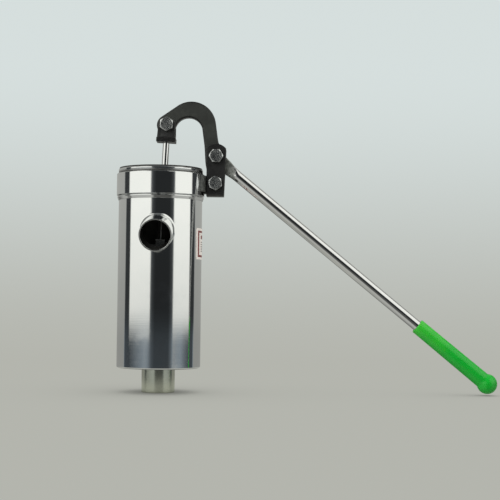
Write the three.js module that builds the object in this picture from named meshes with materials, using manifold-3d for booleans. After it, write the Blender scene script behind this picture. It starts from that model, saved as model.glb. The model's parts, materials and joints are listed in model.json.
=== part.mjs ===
// Hand well pump: a stainless lift pump that stands on its inlet socket.
// Frame: millimetres, +Z up, origin at the centre of the inlet socket's bottom face.
// +X points from the barrel towards the handle, and the spout points towards -Y.
//
// Working: the gooseneck lever turns on the fulcrum bolt. Its short end lifts the piston rod,
// which lifts the piston in the barrel; the delivery valve in the piston and the flap valve in
// the barrel's floor let water pass upwards only. The rod hangs in a slot of the piston's yoke,
// which leaves room for the sideways swing of the lever's end.

import * as THREE from 'three';
import { mergeVertices } from 'three/addons/utils/BufferGeometryUtils.js';
import Module from 'manifold-3d';

const wasm = await Module();
wasm.setup();

// ---------------------------------------------------------------- driving dimensions

const GAP = 0.3; // clearance between neighbouring pieces
const ORIGIN = new THREE.Vector3();
const BIG = 40; // sides of a large round
const MID = 28; // sides of a middle-sized round
const FINE = 16; // sides of a small round
const SNUG = 0.2; // radial clearance of a bolt in its hole
const THROUGH = 20; // half the length of a bar that cuts a hole along Y

// Barrel, with its floor and the inlet socket under it
const SOCKET_R = 21.5;
const SOCKET_BORE_R = 15.6;
const SOCKET_TOP = 33.3;
const BARREL_R = 54;
const BARREL_BORE_R = 52.5;
const BARREL_BOTTOM = 31.8;
const BARREL_TOP = 284;
const FLOOR_BOTTOM = SOCKET_TOP + GAP;
const FLOOR_TOP = FLOOR_BOTTOM + 2.5;
const FLOOR_HOLE_R = 13;
const BARREL_LIP_R = 49.5; // the barrel's bottom edge turns in to this radius

// Collar: a plain band between a rolled bead below and a rounded rim above
const BEAD_BOTTOM = 247.6;
const BAND_BOTTOM = 253.6;
const BAND_TOP = 281.8;
const BAND_R = 56.8;
const BEAD_R = 56;
const RIM_R = 54.7;
const RIM_TOP = 289.6;
const COLLAR_BORE_R = BARREL_R + GAP;

// Spout: a short tube that slopes down from the front of the barrel
const SPOUT_R = 20.6;
const SPOUT_BORE_R = 18.9;
const SPOUT_SLOPE = THREE.MathUtils.degToRad(13);
const SPOUT_ROOT_Z = 206; // height of the spout's axis where it meets the barrel's skin
const SPOUT_REACH = 31; // length of the axis outside the barrel

// Label on the barrel's right side
const LABEL_BOTTOM = 171.6;
const LABEL_HEIGHT = 40;
const LABEL_START_DEG = -27; // angles about +Z from +X
const LABEL_SWEEP_DEG = 64;
const LABEL_T = 0.35;
const LABEL_GLUE = 0.15; // between the label and the barrel's skin

// Bolts, washers and nuts of the three cross bolts
const BOLT_R = 5;
const HEX_CORNER = 9.5;
const HEX_CHAMFER = 1.3; // how far the chamfer comes in from a hexagon's corners
const HEAD_H = 6.4;
const NUT_H = 8;
const WASHER_R = 10;
const WASHER_T = 1.6;

// Lever: pivots, arm and handle
const FULCRUM = new THREE.Vector3(71.7, 0, 305.6);
const LUG_BOLT = new THREE.Vector3(71.1, 0, 270.2);
const CLEVIS_PIN = new THREE.Vector3(7.2, 0, 346);
const ARM_HALF_T = 7;
const EYE_R = 13.2;
const OUTER_BEND = { x: 39, z: 345.3, r: 31.9 };
const INNER_BEND = { x: 35.6, z: 338.2, r: 17.9 };
const FOOT_R = 22.8; // the arm's foot sweeps this circle about the fulcrum, over the lug
const BUSH_R = 6.6;

const BALL_R = 13;
const BALL_LIFT = 2; // the height of the ball's lowest point above the inlet's end
const BALL_AT = 457.8; // from the fulcrum to the ball's centre, along the handle
const HANDLE_DROP = 1.7; // the handle's axis passes this far under the fulcrum
const HANDLE_R = 7;
const HANDLE_BORE_R = 5.3;
const GRIP_START = 340.6;
const GRIP_R_START = 9.85;
const GRIP_R_END = 10.4;
const TUBE_END = 431.4;
const TANG_HALF_T = 2.75;
const TANG_END = -10.5; // the tang reaches this far behind the fulcrum
const BORE_START = 48;
const RIVET = new THREE.Vector3(10.8, 0, -HANDLE_DROP); // in the handle's frame
const RIVET_R = 1.8;
// The ball stands on the same surface as the inlet socket.
const HANDLE_SLOPE = Math.asin((FULCRUM.z - BALL_R - BALL_LIFT) / Math.hypot(BALL_AT, HANDLE_DROP))
  - Math.atan2(HANDLE_DROP, BALL_AT);

// Bracket and lug
const CHEEK_INNER = 8.2;
const CHEEK_OUTER = 11.7;
const CHEEK_LEFT = 59.5;
const CHEEK_RIGHT = 84.6;
const CHEEK_FOOT_RIGHT = 82.4; // the cheeks taper to this at their lower edge
const CHEEK_BOTTOM = 253.6;
const CHEEK_TOP = 321.8;
const STRAP_BEND_R = 4.5; // outside radius of the bracket's two folds
const LUG_HALF_T = CHEEK_INNER - GAP;
const LUG_TOP = 280.4;
const LUG_RIGHT = 80.6;
const SADDLE_HALF = 23; // half the width of the lug's saddle on the collar's band
const SADDLE_T = 3.2;
const SADDLE_BOTTOM = 259.3;
const SADDLE_TOP = 279.8;

// Piston rod and its clevis
const WRIST = new THREE.Vector3(0, 0, 183);
const ROD_LEAN = Math.atan2(CLEVIS_PIN.x - WRIST.x, CLEVIS_PIN.z - WRIST.z);
const ROD_LENGTH = CLEVIS_PIN.distanceTo(WRIST);
const ROD_R = 4.3;
const CLEVIS_INNER = ARM_HALF_T + GAP + 0.1;
const CLEVIS_OUTER = 11.4;
const CLEVIS_BACK = CLEVIS_OUTER + GAP;
const CLEVIS_TOP = 7; // heights in the rod's frame, whose origin is the clevis pin
const CLEVIS_BOTTOM = -22.2;
const CLEVIS_SLOT_FLOOR = -14.3;
const ROD_TOP = CLEVIS_SLOT_FLOOR - 0.9;
const WRIST_PIN_R = 3;
const ROD_SOCKET = 5; // height of the rod's seat above the wrist pin
const CLIP_T = 1;

// Piston
const PISTON_R = 50;
const PISTON_BOTTOM = 147;
const PISTON_TOP = 155;
const PORT_R = 13;
const VALVE_R = 16.5;
const CUP_R = 52;
const CUP_TOP = 173;
const CUP_BASE_TOP = PISTON_TOP + GAP + 3;
const CLAMP_TOP = CUP_BASE_TOP + GAP + 3;
const CLAMP_BORE_R = 18;
const SCREW_CIRCLE_R = 33;
const SCREW_R = 2.5;
const YOKE_GAP_HALF = 6.4;
const YOKE_CHEEK_T = 3.6;
const YOKE_FOOT_T = 3.5;
const WRIST_TRAVEL = 11.8; // sideways travel of the wrist pin in the yoke's slot

const YOKE_OUTER = YOKE_GAP_HALF + YOKE_CHEEK_T;
const CLIP_Y = YOKE_OUTER + CLIP_T;

// Foot valve
const SEAT_R = 21;
const SEAT_TOP = FLOOR_TOP + GAP + 4;
const FLAP_T = 3;
const FLAP_R = 18.5;
const FLAP_HALF_W = 7.4; // half the width of the flap's hinge tab
const HINGE_PIN_R = 1.6;
const FLAP_SCREW_R = 2;
const WEIGHT_H = 5;
const HINGE_X = -24.5;
const HINGE_Z = SEAT_TOP + GAP + FLAP_T / 2;
const FLAP_TOP = HINGE_Z + FLAP_T / 2;

// ---------------------------------------------------------------- materials

const metal = (color, roughness) =>
  new THREE.MeshStandardMaterial({ color, roughness, metalness: 1 });
const plain = (color, roughness) =>
  new THREE.MeshStandardMaterial({ color, roughness, metalness: 0 });

const polished = metal(0xd2d4d2, 0.08);
const brushed = metal(0xb4b6b2, 0.3);
const chromed = metal(0xd8d9d8, 0.12);
const greyTang = metal(0x77786f, 0.35);
const blackIron = plain(0x161819, 0.4);
const darkCast = plain(0x3a3b38, 0.5);
const zinc = metal(0xc4c6c8, 0.25);
const brassy = metal(0xb08d4c, 0.3);
const castIron = plain(0x3c3d3d, 0.6);
const greenVinyl = plain(0x2fc14a, 0.35);
const blackRubber = plain(0x1c1c1c, 0.6);
const greyNylon = plain(0x8d9092, 0.45);
const paper = plain(0xeee6dc, 0.6);

// ---------------------------------------------------------------- solids

// A closed three.js geometry as a solid that can be joined and cut.
function solidOf(geometry) {
  const bare = geometry.clone();
  bare.deleteAttribute('normal');
  bare.deleteAttribute('uv');
  const merged = mergeVertices(bare, 1e-3);
  return new wasm.Manifold(new wasm.Mesh({
    numProp: 3,
    vertProperties: merged.attributes.position.array,
    triVerts: new Uint32Array(merged.index.array),
  }));
}

function geometryOf(solid) {
  const mesh = solid.getMesh();
  const geometry = new THREE.BufferGeometry();
  geometry.setAttribute('position', new THREE.BufferAttribute(mesh.vertProperties, 3));
  geometry.setIndex(new THREE.BufferAttribute(mesh.triVerts, 1));
  geometry.computeVertexNormals();
  return geometry;
}

// A profile of [radius, height] points turned about Z. A profile that is off the axis closes on
// itself. It may run either way round.
function turned(profile, sides) {
  const points = profile.map(([r, z]) => new THREE.Vector2(r, z));
  if (profile[0][0] > 0) points.push(points[0].clone());
  if (THREE.ShapeUtils.area(points) < 0) points.reverse();
  return solidOf(new THREE.LatheGeometry(points, sides).rotateX(Math.PI / 2));
}

const ring = (inner, outer, bottom, top, sides) =>
  turned([[inner, bottom], [outer, bottom], [outer, top], [inner, top]], sides);

const disc = (radius, bottom, top, sides) =>
  turned([[0, bottom], [radius, bottom], [radius, top], [0, top]], sides);

// Points of an arc in a profile or an outline, angles in degrees.
function arc(x, z, radius, from, to, steps) {
  const points = [];
  for (let i = 0; i <= steps; i += 1) {
    const angle = THREE.MathUtils.degToRad(from + (to - from) * i / steps);
    points.push([x + radius * Math.cos(angle), z + radius * Math.sin(angle)]);
  }
  return points;
}

const block = (x0, x1, y0, y1, z0, z1) => solidOf(new THREE.BoxGeometry(x1 - x0, y1 - y0, z1 - z0)
  .translate((x0 + x1) / 2, (y0 + y1) / 2, (z0 + z1) / 2));

const outline = (points) => new THREE.Shape(points.map(([x, z]) => new THREE.Vector2(x, z)));

// An outline in the XZ plane, given thickness along Y, with its long edges rounded by bevel.
function plate(points, y0, y1, bevel = 0) {
  const geometry = new THREE.ExtrudeGeometry(outline(points), {
    depth: y1 - y0 - 2 * bevel,
    bevelEnabled: bevel > 0,
    bevelThickness: bevel,
    bevelSize: bevel,
    bevelOffset: -bevel,
    bevelSegments: 1,
    curveSegments: 6,
  });
  return solidOf(geometry.rotateX(Math.PI / 2).translate(0, y1 - bevel, 0));
}

// A round bar along Y at a point of the XZ plane.
const barY = (at, radius, y0, y1, sides = FINE) => solidOf(
  new THREE.CylinderGeometry(radius, radius, y1 - y0, sides)
    .translate(0, (y0 + y1) / 2, 0)
    .translate(at.x, 0, at.z),
);

// A hexagon's chamfered prism about Z, its corners on a circle of radius corner.
function hexagon(corner, bottom, top, turnDeg = 0) {
  const prism = solidOf(new THREE.CylinderGeometry(corner, corner, top - bottom, 6)
    .rotateX(Math.PI / 2)
    .translate(0, 0, (bottom + top) / 2)
    .rotateZ(THREE.MathUtils.degToRad(turnDeg)));
  const outside = corner + 1;
  const chamfer = turned([
    [0, bottom - 1], [outside, bottom - 1], [outside, top - HEX_CHAMFER / 2],
    [corner - HEX_CHAMFER, top], [0, top],
  ], 12);
  return prism.intersect(chamfer);
}

// Turns a solid made about Z so that it lies along Y, its top facing -Y.
const layDown = (solid) => solid.rotate([90, 0, 0]);

// A hexagon bolt along Y: the head's seat is at y = seat, on the front, and it ends at y = end.
function hexBolt(seat, end, turnDeg) {
  const head = layDown(hexagon(HEX_CORNER, 0, HEAD_H, turnDeg)).translate([0, seat, 0]);
  return head.add(barY(ORIGIN, BOLT_R, seat - 1, end));
}

function hexNut(front, turnDeg) {
  const body = layDown(hexagon(HEX_CORNER, 0, NUT_H, turnDeg)).rotate([0, 0, 180]);
  return body.translate([0, front, 0])
    .subtract(barY(ORIGIN, BOLT_R + GAP, front - 1, front + NUT_H + 2));
}

const washer = (front) =>
  layDown(ring(BOLT_R + GAP, WASHER_R, -WASHER_T, 0, FINE)).translate([0, front, 0]);

// ---------------------------------------------------------------- assembly

const pump = new THREE.Group();
const leverHandle = new THREE.Group();
leverHandle.position.copy(FULCRUM);
leverHandle.rotation.y = HANDLE_SLOPE;
const rod = new THREE.Group();
rod.position.copy(CLEVIS_PIN);
rod.rotation.y = ROD_LEAN;
pump.add(leverHandle, rod);

function add(name, solid, material, parent = pump) {
  const mesh = new THREE.Mesh(geometryOf(solid), material);
  mesh.name = name;
  parent.add(mesh);
}

function addAt(name, solid, material, point) {
  add(name, solid.translate([point.x, point.y, point.z]), material);
}

// ---------------------------------------------------------------- barrel and inlet

// A straight piece along the spout's axis, from a distance inside the barrel's skin outwards.
function alongSpout(radius, from, to) {
  return solidOf(new THREE.CylinderGeometry(radius, radius, to - from, MID)
    .translate(0, -(from + to) / 2, 0)
    .rotateX(SPOUT_SLOPE)
    .translate(0, -BARREL_R, SPOUT_ROOT_Z));
}

function inletSocket() {
  return turned([
    [SOCKET_BORE_R + 1.2, 0], [SOCKET_R - 0.8, 0], [SOCKET_R, 0.8], [SOCKET_R, SOCKET_TOP],
    [SOCKET_BORE_R, SOCKET_TOP], [SOCKET_BORE_R, 1.2],
  ], MID);
}

function barrelTube() {
  const corner = 2.2;
  const spoutHole = alongSpout(SPOUT_BORE_R, -12, 12);
  const tube = turned([
    [BARREL_LIP_R, BARREL_BOTTOM],
    ...arc(BARREL_R - corner, BARREL_BOTTOM + corner, corner, -90, 0, 3),
    [BARREL_R, BARREL_TOP], [BARREL_BORE_R, BARREL_TOP], [BARREL_BORE_R, SOCKET_TOP],
    [BARREL_LIP_R, SOCKET_TOP],
  ], BIG);
  return tube.subtract(spoutHole);
}

// The spout starts inside the barrel, where the barrel's own round trims it.
function spoutTube() {
  const start = -14;
  return alongSpout(SPOUT_R, start, SPOUT_REACH)
    .subtract(alongSpout(SPOUT_BORE_R, start - 1, SPOUT_REACH + 1))
    .subtract(disc(BARREL_R + GAP, BARREL_BOTTOM, BARREL_TOP, BIG));
}

function label() {
  const inner = BARREL_R + LABEL_GLUE;
  const [from, to] = [LABEL_START_DEG, LABEL_START_DEG + LABEL_SWEEP_DEG];
  const edge = [
    ...arc(0, 0, inner + LABEL_T, from, to, 16),
    ...arc(0, 0, inner, to, from, 16),
  ];
  return solidOf(new THREE.ExtrudeGeometry(outline(edge), {
    depth: LABEL_HEIGHT, bevelEnabled: false,
  }).translate(0, 0, LABEL_BOTTOM));
}

add('inlet_socket', inletSocket(), brushed);
add('floor_plate', ring(FLOOR_HOLE_R, BARREL_BORE_R - GAP, FLOOR_BOTTOM, FLOOR_TOP, BIG), brushed);
add('barrel', barrelTube(), polished);
add('spout', spoutTube(), polished);
add('label_panel', label(), paper);

// ---------------------------------------------------------------- collar

function collarBead() {
  const round = (BAND_BOTTOM - GAP - BEAD_BOTTOM) / 2;
  return turned([
    [COLLAR_BORE_R, BEAD_BOTTOM], [BEAD_R - 1, BEAD_BOTTOM], [BEAD_R, BEAD_BOTTOM + round / 2],
    [BEAD_R, BAND_BOTTOM - GAP - round / 2], [BEAD_R - 1, BAND_BOTTOM - GAP],
    [COLLAR_BORE_R, BAND_BOTTOM - GAP],
  ], BIG);
}

function collarBand() {
  const corner = 0.8;
  return turned([
    [COLLAR_BORE_R, BAND_BOTTOM], [BAND_R - corner, BAND_BOTTOM], [BAND_R, BAND_BOTTOM + corner],
    [BAND_R, BAND_TOP - corner], [BAND_R - corner, BAND_TOP], [COLLAR_BORE_R, BAND_TOP],
  ], BIG);
}

function rimRing() {
  const bead = 2.1;
  return turned([
    [COLLAR_BORE_R, BAND_TOP + GAP], [RIM_R, BAND_TOP + GAP],
    ...arc(RIM_R - bead, RIM_TOP - bead, bead, 0, 180, 4),
    [RIM_R - 2 * bead, BARREL_TOP + GAP], [COLLAR_BORE_R, BARREL_TOP + GAP],
  ], BIG);
}

add('collar_bead', collarBead(), polished);
add('collar_band', collarBand(), polished);
add('rim_ring', rimRing(), polished);

// ---------------------------------------------------------------- lug, bracket and bolts

function collarLug() {
  const base = CHEEK_BOTTOM + (CHEEK_OUTER - CHEEK_INNER) + GAP;
  const inside = 50; // inside the collar, where the lug is cut away
  const saddle = disc(BAND_R + SADDLE_T, SADDLE_BOTTOM, SADDLE_TOP, BIG).intersect(
    block(inside, CHEEK_LEFT - GAP, -SADDLE_HALF, SADDLE_HALF, SADDLE_BOTTOM, SADDLE_TOP),
  );
  return block(inside, LUG_RIGHT, -LUG_HALF_T, LUG_HALF_T, base, LUG_TOP)
    .add(saddle)
    .subtract(disc(BAND_R + GAP, base - 1, LUG_TOP + 1, BIG))
    .subtract(barY(LUG_BOLT, BOLT_R + GAP, -THROUGH, THROUGH));
}

// The strap's U section runs along X, and its two cheeks have the rounded outline.
function pivotBracket() {
  const bend = STRAP_BEND_R;
  const web = CHEEK_OUTER - CHEEK_INNER;
  const inside = bend - web;
  const section = [
    [CHEEK_OUTER, CHEEK_TOP + 1],
    ...arc(CHEEK_OUTER - bend, CHEEK_BOTTOM + bend, bend, 0, -90, 4),
    ...arc(-CHEEK_OUTER + bend, CHEEK_BOTTOM + bend, bend, -90, -180, 4),
    [-CHEEK_OUTER, CHEEK_TOP + 1], [-CHEEK_INNER, CHEEK_TOP + 1],
    ...arc(-CHEEK_INNER + inside, CHEEK_BOTTOM + web + inside, inside, -180, -90, 2),
    ...arc(CHEEK_INNER - inside, CHEEK_BOTTOM + web + inside, inside, -90, 0, 2),
    [CHEEK_INNER, CHEEK_TOP + 1],
  ];
  const strap = solidOf(new THREE.ExtrudeGeometry(outline(section), {
    depth: CHEEK_RIGHT - CHEEK_LEFT, bevelEnabled: false,
  }).rotateX(Math.PI / 2).rotateZ(Math.PI / 2).translate(CHEEK_LEFT, 0, 0));
  const crown = CHEEK_TOP - FULCRUM.z;
  const leftEnd = 180 - THREE.MathUtils.radToDeg(Math.acos((FULCRUM.x - CHEEK_LEFT) / crown));
  const rightEnd = THREE.MathUtils.radToDeg(Math.acos((CHEEK_RIGHT - FULCRUM.x) / crown));
  const face = plate([
    [CHEEK_LEFT, CHEEK_BOTTOM], [CHEEK_FOOT_RIGHT, CHEEK_BOTTOM],
    ...arc(FULCRUM.x, FULCRUM.z, crown, rightEnd, leftEnd, 10),
  ], -THROUGH, THROUGH);
  return strap.intersect(face)
    .subtract(barY(FULCRUM, BOLT_R + SNUG, -THROUGH, THROUGH))
    .subtract(barY(LUG_BOLT, BOLT_R + SNUG, -THROUGH, THROUGH));
}

add('collar_lug', collarLug(), darkCast);
add('pivot_bracket', pivotBracket(), blackIron);
for (const [name, point, turnDeg] of [['fulcrum', FULCRUM, 90], ['lug', LUG_BOLT, 68]]) {
  const back = CHEEK_OUTER + GAP;
  const nutFront = back + WASHER_T + GAP;
  addAt(`${name}_bolt`, hexBolt(-back, nutFront + NUT_H + 3, turnDeg), zinc, point);
  addAt(`${name}_washer`, washer(back), zinc, point);
  addAt(`${name}_nut`, hexNut(nutFront, turnDeg + 20), zinc, point);
}

// ---------------------------------------------------------------- lever

// The slot in the arm's lower end that holds the handle's flattened tang.
function tangSlot() {
  return block(TANG_END - 1, 40, -TANG_HALF_T - GAP, TANG_HALF_T + GAP, -12, 12)
    .rotate([0, THREE.MathUtils.radToDeg(HANDLE_SLOPE), 0])
    .translate([FULCRUM.x, 0, FULCRUM.z]);
}

// A point of the handle's frame in the pump's frame.
const fromHandle = (point) =>
  point.clone().applyAxisAngle(new THREE.Vector3(0, 1, 0), HANDLE_SLOPE).add(FULCRUM);

function gooseneckArm() {
  const arm = plate([
    ...arc(CLEVIS_PIN.x, CLEVIS_PIN.z, EYE_R, -48, -237, 10),
    ...arc(OUTER_BEND.x, OUTER_BEND.z, OUTER_BEND.r, 123, 6, 14),
    [73.2, 331], [74.8, 322], [82.4, 314],
    [83.5, 302], ...arc(FULCRUM.x, FULCRUM.z, FOOT_R, -59, -121.5, 5),
    [58, 295], [57.2, 305], [56, 322],
    ...arc(INNER_BEND.x, INNER_BEND.z, INNER_BEND.r, 12, 158, 12),
  ], -ARM_HALF_T, ARM_HALF_T, 1.8);
  return arm.subtract(tangSlot())
    .subtract(barY(CLEVIS_PIN, BOLT_R + GAP, -THROUGH, THROUGH))
    .subtract(barY(FULCRUM, BUSH_R + GAP, -THROUGH, THROUGH))
    .subtract(barY(fromHandle(RIVET), RIVET_R + SNUG, -THROUGH, THROUGH));
}

// A closed skin through rings of a flattened round section, each across the handle's axis.
function flattenedBar(stations, sides) {
  const positions = [];
  for (const { at, lift, halfWidth, halfThick, squareness } of stations) {
    for (let i = 0; i < sides; i += 1) {
      const angle = 2 * Math.PI * i / sides;
      const blunt = (value) => Math.sign(value) * Math.abs(value) ** (2 / squareness);
      const across = halfThick * blunt(Math.cos(angle));
      positions.push(at, across, lift + halfWidth * blunt(Math.sin(angle)));
    }
  }
  const index = [];
  const last = (stations.length - 1) * sides;
  for (let s = 0; s < last; s += sides) {
    for (let i = 0; i < sides; i += 1) {
      const next = (i + 1) % sides;
      index.push(s + i, s + next, s + sides + i, s + next, s + sides + next, s + sides + i);
    }
  }
  for (let i = 1; i < sides - 1; i += 1) {
    index.push(0, i + 1, i, last, last + i, last + i + 1);
  }
  const geometry = new THREE.BufferGeometry();
  geometry.setAttribute('position', new THREE.Float32BufferAttribute(positions, 3));
  geometry.setIndex(index);
  return solidOf(geometry);
}

// A round bar along the handle's axis.
const barX = (radius, from, to, sides) => solidOf(
  new THREE.CylinderGeometry(radius, radius, to - from, sides)
    .rotateZ(Math.PI / 2)
    .translate((from + to) / 2, 0, -HANDLE_DROP),
);

// The tube's end is pressed to a flat tang, which widens a little towards the fulcrum.
function handleTube() {
  const flat = { halfThick: TANG_HALF_T, squareness: 6, lift: -HANDLE_DROP };
  const round = { halfWidth: HANDLE_R, halfThick: HANDLE_R, squareness: 2, lift: -HANDLE_DROP };
  const bar = flattenedBar([
    { ...flat, at: TANG_END, halfWidth: 7.6 },
    { ...flat, at: -7, halfWidth: 9.4 },
    { ...flat, at: 7, halfWidth: 9.6 },
    { ...flat, at: 16.5, halfWidth: 8.9 },
    { ...flat, at: 23, halfWidth: 8 },
    { ...flat, at: 30, halfWidth: 7.3, halfThick: 5.2, squareness: 2.8 },
    { ...round, at: 37 },
    { ...round, at: TUBE_END },
  ], 20);
  return bar.subtract(barX(HANDLE_BORE_R, BORE_START, TUBE_END + 5, FINE))
    .subtract(barY(ORIGIN, BUSH_R + GAP, -THROUGH, THROUGH))
    .subtract(barY(RIVET, RIVET_R + SNUG, -THROUGH, THROUGH));
}

// A sleeve that ends in a ball, open to the tube as far as the tube's end.
function grip() {
  const neck = BALL_AT - 10;
  const inside = HANDLE_R + GAP;
  const bottom = TUBE_END + 1;
  return turned([
    [0, bottom], [inside, bottom], [inside, GRIP_START], [GRIP_R_START - 1, GRIP_START],
    [GRIP_R_START, GRIP_START + 1.4], [GRIP_R_END, neck - 6], [GRIP_R_END + 0.6, neck - 1.5],
    ...arc(0, BALL_AT, BALL_R, -60, 75, 9), [0, BALL_AT + BALL_R],
  ], 24).rotate([0, 90, 0]).translate([0, 0, -HANDLE_DROP]);
}

function fulcrumBush() {
  const half = CHEEK_INNER - 0.1;
  return layDown(ring(BOLT_R + 0.1, BUSH_R, -half, half, 24));
}

add('gooseneck_arm', gooseneckArm(), blackIron);
addAt('fulcrum_bush', fulcrumBush(), brassy, FULCRUM);
add('handle_tube', handleTube(), chromed, leverHandle);
add('tang_rivet', barY(RIVET, RIVET_R, -ARM_HALF_T, ARM_HALF_T), greyTang, leverHandle);
add('grip', grip(), greenVinyl, leverHandle);

// ---------------------------------------------------------------- rod and clevis

// A block slotted for the arm, wider at its foot and rounded at its two upper corners.
function rodClevis() {
  const corner = 4;
  const half = { foot: 12.5, waist: 11.7, top: 10.75 };
  const flangeTop = CLEVIS_BOTTOM + 5.5;
  const body = plate([
    [-half.foot, CLEVIS_BOTTOM], [half.foot, CLEVIS_BOTTOM], [half.foot, flangeTop],
    [half.waist, flangeTop + 1.5],
    ...arc(half.top - corner, CLEVIS_TOP - corner, corner, 0, 90, 3),
    ...arc(corner - half.top, CLEVIS_TOP - corner, corner, 90, 180, 3),
    [-half.waist, flangeTop + 1.5], [-half.foot, flangeTop],
  ], -CLEVIS_OUTER, CLEVIS_OUTER);
  const slot = block(
    -THROUGH, THROUGH, -CLEVIS_INNER, CLEVIS_INNER, CLEVIS_SLOT_FLOOR, CLEVIS_TOP + 5,
  );
  return body.subtract(slot)
    .subtract(barY(ORIGIN, BOLT_R + SNUG, -THROUGH, THROUGH))
    .subtract(disc(ROD_R + SNUG, CLEVIS_BOTTOM - 1, CLEVIS_SLOT_FLOOR + 1, FINE));
}

// The rod's lower end: an eye for the wrist pin, bored from above for the rod.
function rodEye() {
  const half = YOKE_GAP_HALF - 0.4;
  const radius = 6.5;
  const top = 14;
  const shape = plate([
    [-radius, top], ...arc(0, 0, radius, 180, 360, 8), [radius, top],
  ], -half, half, 0.8);
  return shape.subtract(barY(ORIGIN, WRIST_PIN_R + SNUG, -THROUGH, THROUGH))
    .subtract(disc(ROD_R + SNUG, ROD_SOCKET, top + 1, FINE))
    .translate([0, 0, -ROD_LENGTH]);
}

const clipAt = (y) => layDown(ring(WRIST_PIN_R + 0.1, 5.6, -CLIP_T / 2, CLIP_T / 2, FINE))
  .translate([0, y, -ROD_LENGTH]);

function wristPin() {
  const half = CLIP_Y + 1.5;
  return barY({ x: 0, z: -ROD_LENGTH }, WRIST_PIN_R, -half, half);
}

function pistonRod() {
  return disc(ROD_R, ROD_SOCKET + 1 - ROD_LENGTH, ROD_TOP, FINE);
}

add('rod_clevis', rodClevis(), blackIron, rod);
add('clevis_bolt', hexBolt(-CLEVIS_BACK, CLEVIS_BACK + NUT_H + 2, 60), zinc, rod);
add('clevis_nut', hexNut(CLEVIS_BACK, 20), zinc, rod);
add('piston_rod', pistonRod(), polished, rod);
add('rod_eye', rodEye(), brushed, rod);
add('wrist_pin', wristPin(), zinc, rod);
add('wrist_clip_front', clipAt(-CLIP_Y), zinc, rod);
add('wrist_clip_back', clipAt(CLIP_Y), zinc, rod);

// ---------------------------------------------------------------- piston

const SCREW_CENTRES = [0, 90, 180, 270].map((degrees) => {
  const angle = THREE.MathUtils.degToRad(degrees);
  return { x: SCREW_CIRCLE_R * Math.cos(angle), y: SCREW_CIRCLE_R * Math.sin(angle) };
});

// Cuts the four screw holes through a piece of the piston.
const drilled = (solid) => SCREW_CENTRES.reduce(
  (left, { x, y }) =>
    left.subtract(disc(SCREW_R + GAP, PISTON_BOTTOM - 1, WRIST.z, 12).translate([x, y, 0])),
  solid,
);

function cupSeal() {
  const lip = 2.6;
  return turned([
    [CLAMP_BORE_R, PISTON_TOP + GAP], [CUP_R - 1.5, PISTON_TOP + GAP],
    [CUP_R - 0.4, PISTON_TOP + GAP + 1.4], [CUP_R, CUP_TOP], [CUP_R - 1.2, CUP_TOP],
    [CUP_R - lip, CUP_BASE_TOP], [CLAMP_BORE_R, CUP_BASE_TOP],
  ], BIG);
}

// An arch over the delivery valve, with two slotted cheeks for the wrist pin.
function pistonYoke() {
  const foot = CLAMP_TOP + GAP;
  const bridge = WRIST.z - 13;
  const width = 8;
  const legOut = 27;
  const legIn = 23;
  const legs = block(-width, width, -legOut, legOut, foot, bridge + 4)
    .subtract(block(-THROUGH, THROUGH, -legIn, legIn, foot - 1, bridge));
  const feet = block(-width, width, -38, 38, foot, foot + YOKE_FOOT_T)
    .subtract(block(-THROUGH, THROUGH, -legIn, legIn, foot - 1, bridge));
  const middle = -WRIST_TRAVEL / 2;
  const halfSlot = WRIST_TRAVEL / 2 + 0.6;
  const pill = (radius) => [
    ...arc(middle + halfSlot, WRIST.z, radius, -90, 90, 6),
    ...arc(middle - halfSlot, WRIST.z, radius, 90, 270, 6),
  ];
  const cheeks = plate(pill(7.6), -YOKE_OUTER, YOKE_OUTER)
    .add(block(middle - 9, middle + 9, -YOKE_OUTER, YOKE_OUTER, bridge + 1, WRIST.z))
    .subtract(block(-40, 40, -YOKE_GAP_HALF, YOKE_GAP_HALF, bridge + 4, WRIST.z + 20))
    .subtract(plate(pill(WRIST_PIN_R + 1.4), -THROUGH, THROUGH));
  return drilled(legs.add(feet).add(cheeks));
}

function deliveryValve() {
  const seat = PISTON_TOP + GAP;
  const wing = PORT_R - 0.6;
  return disc(VALVE_R, seat, seat + 3.6, 24)
    .add(disc(5, seat + 1, seat + 7, FINE))
    .add(block(-wing, wing, -1, 1, PISTON_BOTTOM + 1, seat + 1))
    .add(block(-1, 1, -wing, wing, PISTON_BOTTOM + 1, seat + 1));
}

function pistonScrew(seat) {
  const head = turned([
    [0, seat], [4.6, seat], [4.6, seat + 1.6], [3.2, seat + 3], [0, seat + 3],
  ], 12);
  return disc(SCREW_R, PISTON_BOTTOM + 1, seat + 1, 12).add(head);
}

const pistonBody = ring(PORT_R, PISTON_R, PISTON_BOTTOM, PISTON_TOP, BIG);
const clampRing = ring(CLAMP_BORE_R, 46, CUP_BASE_TOP + GAP, CLAMP_TOP, MID);
add('piston_body', drilled(pistonBody), greyNylon);
add('cup_seal', drilled(cupSeal()), blackRubber);
add('clamp_ring', drilled(clampRing), brushed);
add('piston_yoke', pistonYoke(), brushed);
SCREW_CENTRES.forEach(({ x, y }, i) => {
  const onYoke = Math.abs(y) > 1;
  const seat = CLAMP_TOP + GAP + (onYoke ? YOKE_FOOT_T + GAP : 0);
  add(`piston_screw_${i + 1}`, pistonScrew(seat).translate([x, y, 0]), zinc);
});
add('delivery_valve', deliveryValve(), brassy);

// ---------------------------------------------------------------- foot valve

function hingeBracket() {
  const base = FLOOR_TOP + GAP;
  const outer = FLAP_HALF_W + 4.1;
  const inner = FLAP_HALF_W + 0.6;
  const posts = block(HINGE_X - 4, HINGE_X + 4, -outer, outer, base, HINGE_Z + 4)
    .subtract(block(HINGE_X - 5, HINGE_X + 5, -inner, inner, base + 1.5, HINGE_Z + 5));
  return posts.subtract(disc(SEAT_R + GAP, base - 1, SEAT_TOP + 10, MID))
    .subtract(barY({ x: HINGE_X, z: HINGE_Z }, HINGE_PIN_R + SNUG, -THROUGH, THROUGH));
}

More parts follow.
